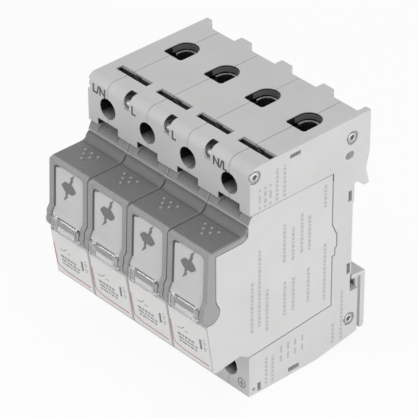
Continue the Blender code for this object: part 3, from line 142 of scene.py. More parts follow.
class Bench:
    """Modelling moves that the sub-assemblies share."""

    @staticmethod
    def clear() -> None:
        """Leave edit mode and deselect everything."""
        if bpy.context.object and bpy.context.object.mode != "OBJECT":
            bpy.ops.object.mode_set(mode="OBJECT")
        bpy.ops.object.select_all(action="DESELECT")

    @classmethod
    def take(cls, piece: Piece) -> None:
        """Make a piece the only selected and active one.

        Args:
            piece: the piece to select.
        """
        cls.clear()
        piece.select_set(True)
        bpy.context.view_layer.objects.active = piece

    @classmethod
    def open_up(cls, piece: Piece) -> None:
        """Enter edit mode on a piece with all of it selected.

        Args:
            piece: the piece to edit.
        """
        cls.take(piece)
        bpy.ops.object.mode_set(mode="EDIT")
        bpy.ops.mesh.select_all(action="SELECT")

    @classmethod
    def settle(cls, piece: Piece) -> None:
        """Move a piece's place into its mesh, so that its object sits at the origin."""
        cls.take(piece)
        bpy.ops.object.transform_apply(location=True, rotation=True, scale=True)

    @classmethod
    def lay(cls, piece: Piece, spot: Spot) -> Piece:
        """Bring a piece from the XY plane to its spot on the device.

        Args:
            piece: the piece, drawn in the XY plane.
            spot: where it goes and the way it looks.

        Returns:
            The piece.
        """
        turn = spot.facing.value
        piece.rotation_euler = [math.radians(angle) for angle in (turn[0] + spot.lean, turn[1], turn[2])]
        piece.location = DATUM.point(spot.x, spot.depth, spot.height)
        cls.settle(piece)
        return piece

    @classmethod
    def twin(cls, piece: Piece, name: str, shift: Vector) -> Piece:
        """Copy a piece with its own mesh.

        Args:
            piece: the piece to copy.
            name: the copy's name.
            shift: the copy's place from the first piece, in millimetres.

        Returns:
            The copy.
        """
        cls.take(piece)
        bpy.ops.object.duplicate(linked=False)
        copy = bpy.context.object
        copy.name = name
        copy.location = shift * MM
        cls.settle(copy)
        return copy

    @classmethod
    def join(cls, name: str, pieces: Sequence[Piece]) -> Piece:
        """Join pieces of one kind into one object and name it.

        Args:
            name: the joined piece's name.
            pieces: the pieces to join.

        Returns:
            The joined piece.
        """
        cls.take(pieces[0])
        for piece in pieces:
            piece.select_set(True)
        if len(pieces) > 1:
            bpy.ops.object.join()
        pieces[0].name = name
        return pieces[0]

    @classmethod
    def drag(cls, piece: Piece, chosen: Sequence[int], shift: Vector) -> None:
        """Move chosen corners of a piece in edit mode.

        Args:
            piece: the piece to shape.
            chosen: numbers of the corners.
            shift: how far they move, in metres.
        """
        cls.take(piece)
        mesh = piece.data
        for part in (mesh.vertices, mesh.edges, mesh.polygons):
            part.foreach_set("select", [False] * len(part))
        for index in chosen:
            mesh.vertices[index].select = True
        bpy.ops.object.mode_set(mode="EDIT")
        bpy.ops.transform.translate(value=shift)
        bpy.ops.object.mode_set(mode="OBJECT")

    @classmethod
    def outline(cls, name: str, points: Outline, height: float = PRINT) -> Piece:
        """Drag a filled ring into a flat outline and raise it into a thin solid.

        Args:
            name: the piece's name.
            points: corners in millimetres, anticlockwise.
            height: thickness in millimetres.

        Returns:
            The piece, in the XY plane.
        """
        cls.clear()
        bpy.ops.mesh.primitive_circle_add(vertices=len(points), radius=MM, fill_type="NGON")
        piece = bpy.context.object
        piece.name = name
        for index, (across, up) in enumerate(points):
            start = piece.data.vertices[index].co
            cls.drag(piece, [index], Vector((across * MM, up * MM, 0.0)) - start)
        return cls.raise_up(piece, height)

    @classmethod
    def tile(cls, name: str, left: float, right: float, low: float, high: float) -> Piece:
        """Lay a thin upright rectangle given by its sides in millimetres.

        Args:
            name: the piece's name.
            left: its left side.
            right: its right side.
            low: its foot.
            high: its top.

        Returns:
            The piece, in the XY plane.
        """
        cls.clear()
        middle = ((left + right) / 2 * MM, (low + high) / 2 * MM, 0.0)
        bpy.ops.mesh.primitive_plane_add(size=1.0, location=middle)
        piece = bpy.context.object
        piece.name = name
        piece.scale = ((right - left) * MM, (high - low) * MM, 1.0)
        cls.settle(piece)
        return cls.raise_up(piece, PRINT)

    @classmethod
    def dashes(cls, name: str, columns: Sequence[tuple[float, float, float]]) -> Piece:
        """Lay upright columns of short dashes, as print that stands for ratings.

        Args:
            name: the piece's name.
            columns: for each column its place across, its foot and its top in millimetres.

        Returns:
            The dashes as one piece, in the XY plane.
        """
        marks = []
        half = DASH_WIDTH / 2
        for across, low, high in columns:
            level = low
            while level < high - SHORTEST_DASH:
                top = min(level + DASH_LENGTHS[len(marks) % len(DASH_LENGTHS)], high)
                marks.append(cls.tile(name, across - half, across + half, level, top))
                level = top + DASH_GAP
        return cls.join(name, marks)

    @classmethod
    def raise_up(cls, piece: Piece, height: float) -> Piece:
        """Extrude a flat face upwards into a closed solid with its faces outwards.

        Args:
            piece: the flat piece.
            height: thickness in millimetres.

        Returns:
            The piece.
        """
        cls.open_up(piece)
        bpy.ops.mesh.extrude_region_move(TRANSFORM_OT_translate={"value": (0.0, 0.0, height * MM)})
        bpy.ops.mesh.select_all(action="SELECT")
        bpy.ops.mesh.normals_make_consistent(inside=False)
        bpy.ops.object.mode_set(mode="OBJECT")
        return piece

    @classmethod
    def pierce(cls, piece: Piece, tool: Piece) -> Piece:
        """Cut a tool's shape out of a piece and remove the tool.

        Args:
            piece: the piece to cut.
            tool: a closed solid in the shape of the hole.

        Returns:
            The piece.
        """
        cls.take(piece)
        cut = piece.modifiers.new("cut", "BOOLEAN")
        cut.operation = "DIFFERENCE"
        cut.object = tool
        bpy.ops.object.modifier_apply(modifier=cut.name)
        bpy.data.objects.remove(tool)
        return piece

    @classmethod
    def turned(cls, name: str, profile: Outline, sides: int = 32) -> Piece:
        """Turn a solid about Z by extruding and resizing a disc along a profile.

        Args:
            name: the piece's name.
            profile: radius and height in millimetres, from the foot to the end.
            sides: number of corners round the axis.

        Returns:
            The piece, with its axis on Z.
        """
        cls.clear()
        radius, height = profile[0]
        start = (0.0, 0.0, height * MM)
        bpy.ops.mesh.primitive_circle_add(vertices=sides, radius=radius * MM, fill_type="NGON",
                                          location=start)
        piece = bpy.context.object
        piece.name = name
        cls.settle(piece)
        cls.open_up(piece)
        for (radius, height), (wider, higher) in zip(profile, profile[1:]):
            rise = (0.0, 0.0, (higher - height) * MM)
            bpy.ops.mesh.extrude_region_move(TRANSFORM_OT_translate={"value": rise})
            grow = wider / radius
            bpy.ops.transform.resize(value=(grow, grow, 1.0), center_override=(0.0, 0.0, higher * MM))
        bpy.ops.mesh.select_all(action="SELECT")
        bpy.ops.mesh.normals_make_consistent(inside=False)
        bpy.ops.object.mode_set(mode="OBJECT")
        bpy.ops.object.shade_smooth_by_angle(angle=math.radians(SMOOTH_ANGLE))
        return piece

    @classmethod
    def lettering(cls, name: str, words: str, size: float) -> Piece:
        """Set terminal letters as a thin raised mesh.

        Args:
            name: the piece's name.
            words: the letters.
            size: type size in millimetres.

        Returns:
            The piece, in the XY plane with its first letter at the origin.
        """
        cls.clear()
        bpy.ops.object.text_add()
        piece = bpy.context.object
        piece.name = name
        piece.data.body = words
        piece.data.size = size * MM
        piece.data.offset = size * MM * LETTER_WEIGHT
        piece.data.extrude = PRINT * MM
        bpy.ops.object.convert(target="MESH")
        return bpy.context.object

    @classmethod
    def copy_node(cls, node: str, name: str) -> Piece:
        """Copy a solid into a new piece with joined corners and whole flat faces.

        Args:
            node: the solid's node name.
            name: the new piece's name.

        Returns:
            The new piece.
        """
        piece = bpy.data.objects.new(name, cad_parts[node].data.copy())
        piece.data.materials.clear()
        bpy.context.scene.collection.objects.link(piece)
        cls.open_up(piece)
        bpy.ops.mesh.remove_doubles(threshold=MERGE)
        bpy.ops.mesh.dissolve_limited(angle_limit=math.radians(FLAT_ANGLE))
        bpy.ops.object.mode_set(mode="OBJECT")
        return piece

    @classmethod
    def soften(cls, piece: Piece, width: float) -> Piece:
        """Round a piece's sharp edges and smooth its curved faces.

        Args:
            piece: the piece to finish.
            width: radius of the rounding in millimetres.

        Returns:
            The piece.
        """
        cls.take(piece)
        modifier = piece.modifiers.new("moulded edges", "BEVEL")
        modifier.width = width * MM
        modifier.segments = EDGE_STEPS
        modifier.limit_method = "ANGLE"
        modifier.angle_limit = math.radians(SMOOTH_ANGLE)
        bpy.ops.object.modifier_apply(modifier=modifier.name)
        bpy.ops.object.shade_smooth_by_angle(angle=math.radians(SMOOTH_ANGLE))
        even = piece.modifiers.new("flat faces", "WEIGHTED_NORMAL")
        even.keep_sharp = True
        bpy.ops.object.modifier_apply(modifier=even.name)
        return piece

    @staticmethod
    def dress(piece: Piece, finish: Material, slot: str, body: str, *nodes: str) -> None:
        """Finish a piece and let it ride on a body.

        Args:
            piece: the piece.
            finish: its material.
            slot: the record's material slot.
            body: the body that it moves with.
            nodes: the solids that it stands for.
        """
        Bench.finish(piece, finish, slot, *nodes)
        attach(piece, body)
        LOG.info("%s rides on %s with %s", piece.name, body, slot)

    @staticmethod
    def finish(piece: Piece, finish: Material, slot: str, *nodes: str) -> None:
        """Give a piece its material, and hide the solids that it stands for.

        Args:
            piece: the piece.
            finish: its material.
            slot: the record's material slot; not used.
            nodes: the solids that it stands for.
        """
        piece.data.materials.clear()
        piece.data.materials.append(finish)
        if nodes:
            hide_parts(*nodes)

    @staticmethod
    def coat(node: str, finish: Material) -> None:
        """Give a solid that stays as it is its material.

        Args:
            node: the solid's node name.
            finish: the material.
        """
        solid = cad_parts[node]
        solid.data.materials.clear()
        solid.data.materials.append(finish)
        LOG.info("%s keeps its solid", node)


def stroke(points: Outline, width: float) -> list[tuple[float, float]]:
    """Return the outline of a line of even width through some points, in millimetres.

    Args:
        points: the middle line in millimetres.
        width: the width in millimetres.

    Returns:
        The corners of the outline.
    """
    left, right = [], []
    last = len(points) - 1
    for index, (x, y) in enumerate(points):
        before, after = points[max(index - 1, 0)], points[min(index + 1, last)]
        run, rise = after[0] - before[0], after[1] - before[1]
        length = math.hypot(run, rise)
        across, up = -rise / length * width / 2, run / length * width / 2
        left.append((x + across, y + up))
        right.append((x - across, y - up))
    return right + left[::-1]


def arc(centre: tuple[float, float], radius: float, start: float, end: float,
        steps: int) -> list[tuple[float, float]]:
    """Return points along an arc, with its angles in degrees."""
    turns = [math.radians(start + (end - start) * step / steps) for step in range(steps + 1)]
    return [(centre[0] + radius * math.cos(turn), centre[1] + radius * math.sin(turn)) for turn in turns]


def bar(left: float, right: float, low: float, high: float) -> list[tuple[float, float]]:
    """Return the corners of an upright bar in millimetres."""
    return [(left, low), (right, low), (right, high), (left, high)]


@dataclass(frozen=True)
class Hollow:
    """Box of the device in which the colour is darkened, in millimetres: painted shade where its inner faces
    see little light, and also print and a darker grain field.

    The two corners give X, depth and height. Shade starts at one distance inside the box's faces and is
    full at another, where the tone is the share of the colour that is left. With a lean it deepens across
    the box along that direction. A folded box is the same for every pole, with X counted from its middle.
    With a dash it is broken into short printed marks of that pitch, one above the other.
    """

    low: tuple[float, float, float]
    high: tuple[float, float, float]
    start: float
    full: float
    tone: float = 0.03
    lean: tuple[float, float, float] | None = None
    folded: bool = False
    dash: float = 0.0

    def corners(self) -> tuple[Vector, Vector]:
        """Return the lowest and highest corner in metres."""
        near, far = DATUM.point(*self.low), DATUM.point(*self.high)
        return Vector((near.x, far.y, near.z)), Vector((far.x, near.y, far.z))


class Nodes:
    """Short way to write a material's node tree."""

    def __init__(self, name: str) -> None:
        """Start a material with its shader and object coordinates.

        Args:
            name: the material's name.
        """
        self.material = bpy.data.materials.new(name)
        self.material.use_nodes = True
        self.tree = self.material.node_tree
        self.shader = self.tree.nodes["Principled BSDF"]
        self.place = self.add("ShaderNodeTexCoord").outputs["Object"]

    def add(self, kind: str, **values: object) -> bpy.types.Node:
        """Add a node and set its properties, or its inputs where a name is one.

        Args:
            kind: the node's type name.
            values: properties or inputs, with spaces written as underscores.

        Returns:
            The new node.
        """
        node = self.tree.nodes.new(kind)
        for key, value in values.items():
            label = key.replace("_", " ").title()
            if hasattr(node, key):
                setattr(node, key, value)
            else:
                node.inputs[label].default_value = value
        return node

    def link(self, start: Socket, end: Socket) -> None:
        """Join two sockets."""
        self.tree.links.new(start, end)

    def join(self, kind: str, operation: str, first: Socket, second: object = None) -> Socket:
        """Combine a socket with a value or another socket.

        Args:
            kind: Math or VectorMath.
            operation: the node's operation.
            first: the first input.
            second: a socket, number or vector for the second input, if there is one.

        Returns:
            The result's socket.
        """
        node = self.add(f"ShaderNode{kind}", operation=operation)
        self.link(first, node.inputs[0])
        if isinstance(second, Socket):
            self.link(second, node.inputs[1])
        elif second is not None:
            node.inputs[1].default_value = second
        return node.outputs[0]

    def noise(self, grain: float, detail: float = 3.0) -> Socket:
        """Return noise with features of a size.

        Args:
            grain: size of the features in millimetres.
            detail: octaves of finer noise.

        Returns:
            The socket with the noise value.
        """
        node = self.add("ShaderNodeTexNoise", Scale=1 / (grain * MM), Detail=detail)
        self.link(self.place, node.inputs["Vector"])
        return node.outputs["Fac"]

    def ramp(self, value: Socket, low: tuple, high: tuple, spread: float = 0.2) -> Socket:
        """Colour the surface between two colours by a value round a half, and return the colour.

        Args:
            value: the value.
            low: the colour below a half.
            high: the colour above it.
            spread: how far from a half each colour is reached.

        Returns:
            The colour's socket.
        """
        node = self.add("ShaderNodeValToRGB")
        node.color_ramp.elements[0].position = 0.5 - spread
        node.color_ramp.elements[0].color = (*low, 1.0)
        node.color_ramp.elements[1].position = 0.5 + spread
        node.color_ramp.elements[1].color = (*high, 1.0)
        self.link(value, node.inputs["Fac"])
        self.link(node.outputs["Color"], self.shader.inputs["Base Color"])
        return node.outputs["Color"]

    def spread(self, value: Socket, low: float, high: float, target: str) -> None:
        """Drive a shader input between two values.

        Args:
            value: a value from 0 to 1.
            low: the input at 0.
            high: the input at 1.
            target: the input's name.
        """
        node = self.add("ShaderNodeMapRange")
        node.inputs["To Min"].default_value = low
        node.inputs["To Max"].default_value = high
        self.link(value, node.inputs["Value"])
        self.link(node.outputs["Result"], self.shader.inputs[target])

    def bump(self, value: Socket, height: float, strength: float = 1.0) -> None:
        """Raise the surface by a value, with a height in millimetres, over what bump there is.

        Args:
            value: the value that raises the surface.
            height: full height in millimetres.
            strength: share of the height that shows.
        """
        node = self.add("ShaderNodeBump", Strength=strength, Distance=height * MM)
        self.link(value, node.inputs["Height"])
        before = self.shader.inputs["Normal"].links
        if before:
            self.link(before[0].from_socket, node.inputs["Normal"])
        self.link(node.outputs["Normal"], self.shader.inputs["Normal"])

    def inside(self, hollow: Hollow, place: Socket) -> Socket:
        """Return how far a place lies inside a box: 0 outside it and 1 in its depths.

        Args:
            hollow: the box and the distances over which the value rises.
            place: the socket with the place in metres.

        Returns:
            The value's socket.
        """
        low, high = hollow.corners()
        apart = self.join("VectorMath", "SUBTRACT", place, (low + high) / 2)
        apart = self.join("VectorMath", "ABSOLUTE", apart)
        room = self.join("VectorMath", "SUBTRACT", apart, (high - low) / 2)
        parts = self.add("ShaderNodeSeparateXYZ")
        self.link(room, parts.inputs[0])
        nearest = self.join("Math", "MAXIMUM", parts.outputs[0], parts.outputs[1])
        nearest = self.join("Math", "MAXIMUM", nearest, parts.outputs[2])
        share = self.between(nearest, -hollow.start * MM, -hollow.full * MM)
        if hollow.dash > 0:
            level = self.add("ShaderNodeSeparateXYZ")
            self.link(place, level.inputs[0])
            step = self.join("Math", "FRACT", self.join("Math", "DIVIDE", level.outputs[2], hollow.dash * MM))
            share = self.join("Math", "MULTIPLY", share, self.join("Math", "LESS_THAN", step, DASH_SHARE))
        if hollow.lean is None:
            return share
        node = self.add("ShaderNodeVectorMath", operation="DOT_PRODUCT")
        self.link(self.join("VectorMath", "SUBTRACT", place, (low + high) / 2), node.inputs[0])
        node.inputs[1].default_value = hollow.lean
        deep = self.between(node.outputs["Value"], -SHADOW_REACH * MM, SHADOW_REACH * MM)
        return self.join("Math", "MULTIPLY", share, deep)

    def between(self, value: Socket, low: float, high: float) -> Socket:
        """Return a value's share of the way from one number to another, kept between 0 and 1.

        Args:
            value: the value.
            low: where the share is 0.
            high: where the share is 1.

        Returns:
            The share's socket.
        """
        node = self.add("ShaderNodeMapRange")
        node.inputs["From Min"].default_value = low
        node.inputs["From Max"].default_value = high
        self.link(value, node.inputs["Value"])
        return node.outputs["Result"]

    def sink(self, hollows: tuple[Hollow, ...]) -> None:
        """Paint shade into the surface's colour in its hollows, and print where a box has a dash.

        Args:
            hollows: the boxes, in the order in which they darken the surface.
        """
        for hollow in hollows:
            place = self.pole_place() if hollow.folded else self.place
            self.tint(self.inside(hollow, place), (hollow.tone,) * 3)

    def tint(self, share: Socket, colour: tuple) -> None:
        """Multiply the surface's colour by another one, by a share.

        Args:
            share: how much of the other colour counts.
            colour: the other colour.
        """
        node = self.add("ShaderNodeMixRGB", blend_type="MULTIPLY", Color2=(*colour, 1.0))
        self.link(share, node.inputs["Fac"])
        self.link(self.shader.inputs["Base Color"].links[0].from_socket, node.inputs["Color1"])
        self.link(node.outputs[0], self.shader.inputs["Base Color"])

    def pole_place(self) -> Socket:
        """Return the place with X counted from the middle of the nearest pole.

        Returns:
            The place's socket, in metres.
        """
        parts = self.add("ShaderNodeSeparateXYZ")
        self.link(self.place, parts.inputs[0])
        from_pole = self.join("Math", "SUBTRACT", parts.outputs[0], PITCH / 2 * MM)
        wrap = self.add("ShaderNodeMath", operation="WRAP")
        self.link(from_pole, wrap.inputs[0])
        wrap.inputs[1].default_value = PITCH / 2 * MM
        wrap.inputs[2].default_value = -PITCH / 2 * MM
        whole = self.add("ShaderNodeCombineXYZ")
        self.link(wrap.outputs[0], whole.inputs[0])
        self.link(parts.outputs[1], whole.inputs[1])
        self.link(parts.outputs[2], whole.inputs[2])
        return whole.outputs[0]


def shade(colour: tuple, factor: float) -> tuple:
    """Return a colour made lighter or darker by a factor."""
    return tuple(min(1.0, part * factor) for part in colour)


@dataclass(frozen=True)
class MouldedPlastic:
    """Opaque moulded plastic with a fine grain, slight mottling, painted shade in its hollows and printed
    dashes.
    """

    name: str
    colour: tuple
    roughness: float
    grain: float = 0.25
    relief: float = 0.012
    contrast: float = 0.03
    mottle: float = 14.0
    hollows: tuple[Hollow, ...] = ()
    shine: float = 0.2

    def build(self) -> Material:
        """Build the material.

        Returns:
            The material.
        """
        nodes = Nodes(self.name)
        low, high = shade(self.colour, 1 - self.contrast), shade(self.colour, 1 + self.contrast)
        nodes.ramp(nodes.noise(self.mottle, 6.0), low, high)
        nodes.sink(self.hollows)
        grain = nodes.noise(self.grain)
        nodes.spread(grain, self.roughness - 0.06, self.roughness + 0.06, "Roughness")
        nodes.bump(grain, self.relief)
        nodes.bump(nodes.noise(self.mottle), self.relief * 4, 0.5)
        nodes.shader.inputs["Specular IOR Level"].default_value = self.shine
        return nodes.material


@dataclass(frozen=True)
class SparkedPlastic:
    """Grey plastic, smooth along its edges, with dark spark-eroded grain on the grip field of each pole and
    painted shade in a groove.
    """

    name: str
    smooth: tuple
    fields: tuple[Hollow, ...]
    roughness: float = 0.5
    grain: float = 0.34
    relief: float = 0.05

    def build(self) -> Material:
        """Build the material.

        Returns:
            The material.
        """
        nodes = Nodes(self.name)
        grain = nodes.noise(self.grain, 2.0)
        nodes.ramp(grain, shade(self.smooth, 0.84), shade(self.smooth, 1.16), 0.22)
        nodes.sink(self.fields)
        nodes.spread(nodes.noise(self.grain * 3), self.roughness - 0.1, self.roughness + 0.1, "Roughness")
        nodes.bump(grain, self.relief)
        return nodes.material


@dataclass(frozen=True)
class Metal:
    """Plated or bare metal with drawn streaks and uneven gloss."""

    name: str
    colour: tuple
    roughness: float
    streak: float = 0.35

    def build(self) -> Material:
        """Build the material.

        Returns:
            The material.
        """
        nodes = Nodes(self.name)
        nodes.shader.inputs["Metallic"].default_value = 1.0
        cloud = nodes.noise(self.streak * 8, 5.0)
        nodes.ramp(cloud, shade(self.colour, 0.85), shade(self.colour, 1.1))
        streaks = nodes.noise(self.streak, 4.0)
        nodes.spread(streaks, self.roughness - 0.1, self.roughness + 0.12, "Roughness")
        nodes.bump(streaks, 0.01, 0.6)
        return nodes.material


@dataclass(frozen=True)
class ClearPlastic:
    """Water-clear moulded plastic with a trace of flow marks."""

    name: str
    colour: tuple
    roughness: float = 0.06
    transmission: float = 0.88
    index: float = 1.49

    def build(self) -> Material:
        """Build the material.

        Returns:
            The material.
        """
        nodes = Nodes(self.name)
        nodes.ramp(nodes.noise(4.0), shade(self.colour, 0.97), self.colour)
        nodes.spread(nodes.noise(0.8), self.roughness - 0.03, self.roughness + 0.05, "Roughness")
        nodes.bump(nodes.noise(2.5), 0.02, 0.4)
        nodes.shader.inputs["Transmission Weight"].default_value = self.transmission
        nodes.shader.inputs["IOR"].default_value = self.index
        return nodes.material


@dataclass(frozen=True)
class Ink:
    """Pad-printed ink, slightly uneven where it lies on the moulding's grain; the same finish paints shade on
    dark pieces that stand in for hollows.
    """

    name: str
    colour: tuple
    unevenness: float = 0.12

    def build(self) -> Material:
        """Build the material.

        Returns:
            The material.
        """
        nodes = Nodes(self.name)
        low, high = shade(self.colour, 1 - self.unevenness), shade(self.colour, 1 + self.unevenness)
        nodes.ramp(nodes.noise(0.2, 2.0), low, high, 0.35)
        nodes.spread(nodes.noise(0.4), 0.4, 0.6, "Roughness")
        nodes.bump(nodes.noise(0.25), 0.01)
        return nodes.material


def side_mark(depth: float, low: float, high: float, width: float = 1.1, dash: float = 1.5) -> Hollow:
    """Return an upright column of printed dashes on the base's right side, in millimetres.

    Args:
        depth: the column's middle.
        low: its foot.
        high: its top.
        width: the dashes' width.
        dash: distance from one dash to the next.

    Returns:
        The box that prints it.
    """
    return Hollow((35.3, depth - width / 2, low), (35.9, depth + width / 2, high), 0.0, 0.05, 0.74, dash=dash)


class Palette:
    """Every finish of the device, made once."""

    @staticmethod
    def base_hollows() -> tuple[Hollow, ...]:
        """List the places of the base with painted shade, and its printed side dashes.

        Returns:
            The boxes, in the order in which they darken the moulding.
        """
        width, face = 35.6, 41.45
        # Painted shade inside the lower housing, on the rear wall, in the wire entries, comb slots, notches
        # under the front, screw bores and notches along the top front edge; the block and foot marks are
        # print.
        lower_housing = Hollow((-width, -3.0, 0.0), (width, 41.6, 15.4), 0.9, 4.5)
        rear_wall = Hollow((-width, 0.0, 20.0), (width, 2.4, 60.0), 0.4, 1.3)
        wire_entries = Hollow((-width, 5.0, 62.0), (width, 18.0, 81.0), 0.05, 0.3, 0.02)
        comb_low, comb_high = (-width, 30.7, 62.0), (width, 34.6, 81.0)
        comb_slots = (
            Hollow(comb_low, comb_high, 0.0, 0.08, 0.55),
            Hollow(comb_low, comb_high, 0.45, 0.65, 0.01),
            Hollow((0.8, 30.9, 79.0), (4.0, 32.6, 81.1), 0.0, 0.35, 0.04, folded=True),
        )
        lower_notches = Hollow((-35.5, 35.3, 60.0), (35.5, face, 67.45), 0.0, 0.05, 0.04)
        bore_low, bore_high, slant = (-3.9, 24.0, 68.5), (3.9, face, 76.3), (-0.8, 0.0, 0.6)
        bores = (
            Hollow(bore_low, bore_high, 0.0, 0.1, 0.72, folded=True),
            Hollow(bore_low, bore_high, 0.0, 0.1, 0.01, slant, True),
            Hollow((22.8, 24.0, 3.9), (30.6, face, 11.5), 0.0, 0.1, 0.02, slant),
        )
        block_marks = (
            side_mark(31.0, 66.0, 77.0), side_mark(28.0, 66.0, 77.0), side_mark(33.6, 65.8, 72.8, 1.0, 4.0),
            side_mark(35.6, 65.8, 72.8, 1.2, 2.4), side_mark(37.8, 65.8, 72.8, 0.8, 4.0),
        )
        foot_marks = (
            side_mark(3.7, 2.2, 21.2), side_mark(7.2, 2.6, 10.7), side_mark(34.7, 1.6, 11.9),
            side_mark(32.1, 0.7, 11.0),
            *(side_mark(depth, 6.4, 13.2, 0.9, 3.4) for depth in (20.0, 22.9, 25.8, 28.7)),
        )
        up = (0.0, 0.0, 1.0)
        top_notches = (Hollow((middle - 1.66, 38.0, 75.5), (middle + 0.96, face, 81.4), 0.0, 0.04, 0.05, up)
                       for middle in (-PITCH, 0.0, PITCH))
        return (lower_housing, rear_wall, wire_entries, *comb_slots, lower_notches, *bores, *block_marks,
                *foot_marks, *top_notches)

    def __init__(self) -> None:
        """Build the materials."""
        grey = (0.68, 0.68, 0.675)
        self.base = MouldedPlastic("base moulding", grey, 0.5, hollows=self.base_hollows()).build()
        self.clip = MouldedPlastic("clip moulding", grey, 0.48).build()
        # The cassette's box paints shade on the strip behind each handle, under the block.
        self.cassette = MouldedPlastic("cassette moulding", (0.70, 0.70, 0.695), 0.47, hollows=(
            Hollow((-9.2, 37.5, 61.8), (8.72, 42.6, 65.3), 0.0, 0.3, 0.48, folded=True),)).build()
        # Boxes: the grip field's darker spark-eroded grain, painted shade in the groove at the foot of the
        # rear sweep, and a darker top of the rear ridge.
        self.handle = SparkedPlastic("handle moulding", (0.365, 0.365, 0.367), (
            Hollow((-8.8, 41.9, 58.4), (8.8, 56.6, 70.0), 0.0, 0.45, 0.54, folded=True),
            Hollow((-8.3, 44.5, 58.4), (8.3, 45.5, 59.6), 0.0, 0.3, 0.72, folded=True),
            Hollow((-8.5, 42.0, 61.0), (8.5, 43.4, 62.4), 0.0, 0.3, 0.7, folded=True),
        )).build()
        self.bead = MouldedPlastic("grip bead", (0.43, 0.43, 0.43), 0.45, 0.1).build()
        self.clear = ClearPlastic("clear flap", (0.985, 0.985, 0.985)).build()
        self.zinc = Metal("zinc plate", (0.62, 0.62, 0.60), 0.36).build()
        # The wire funnel's dark grey is painted shade on the lip inside the wire entry.
        self.funnel = MouldedPlastic("wire funnel", (0.14, 0.14, 0.14), 0.5).build()
        self.rivet = Metal("rivet steel", (0.56, 0.56, 0.55), 0.42).build()
        self.spring = Metal("spring wire", (0.48, 0.48, 0.47), 0.28).build()
        self.brass = Metal("tinned brass", (0.27, 0.26, 0.24), 0.5).build()
        # Near-white metal on the cage rim is a painted highlight.
        self.edge = Metal("pressed edge", (0.95, 0.95, 0.94), 0.5).build()
        # Near-black steel on the cage saddle is painted shade deep in the wire entry.
        self.dark_steel = Metal("blackened steel", (0.10, 0.10, 0.10), 0.5).build()
        self.copper = Metal("blade copper", (0.75, 0.45, 0.30), 0.34).build()
        self.varistor = MouldedPlastic("dipped resin", (0.08, 0.16, 0.40), 0.3, 1.2, 0.05, 0.12, 6.0).build()
        self.flag = MouldedPlastic("flag moulding", (0.17, 0.19, 0.17), 0.5).build()
        self.sticker = MouldedPlastic("label film", (0.88, 0.88, 0.87), 0.35, 0.5, 0.004, 0.015).build()
        self.card = Ink("insert card", (0.93, 0.93, 0.93), 0.04).build()
        # Near-black on the comb tabs is painted shade of the comb slots.
        self.tooth = Ink("comb tooth", (0.012, 0.012, 0.012)).build()
        # Dark print, also painted shade in the rivet eyes and the gap beside each panel.
        self.dark_ink = Ink("dark print", (0.09, 0.09, 0.092)).build()
        # Grey print, also painted shade in the band at the top of each label window.
        self.grey_ink = Ink("grey print", (0.19, 0.19, 0.192)).build()
        self.pale_ink = Ink("pale print", (0.33, 0.33, 0.33), 0.2).build()
        self.faint_ink = Ink("faint print", (0.50, 0.50, 0.50), 0.1).build()
        self.red_ink = Ink("red print", (0.55, 0.22, 0.20)).build()


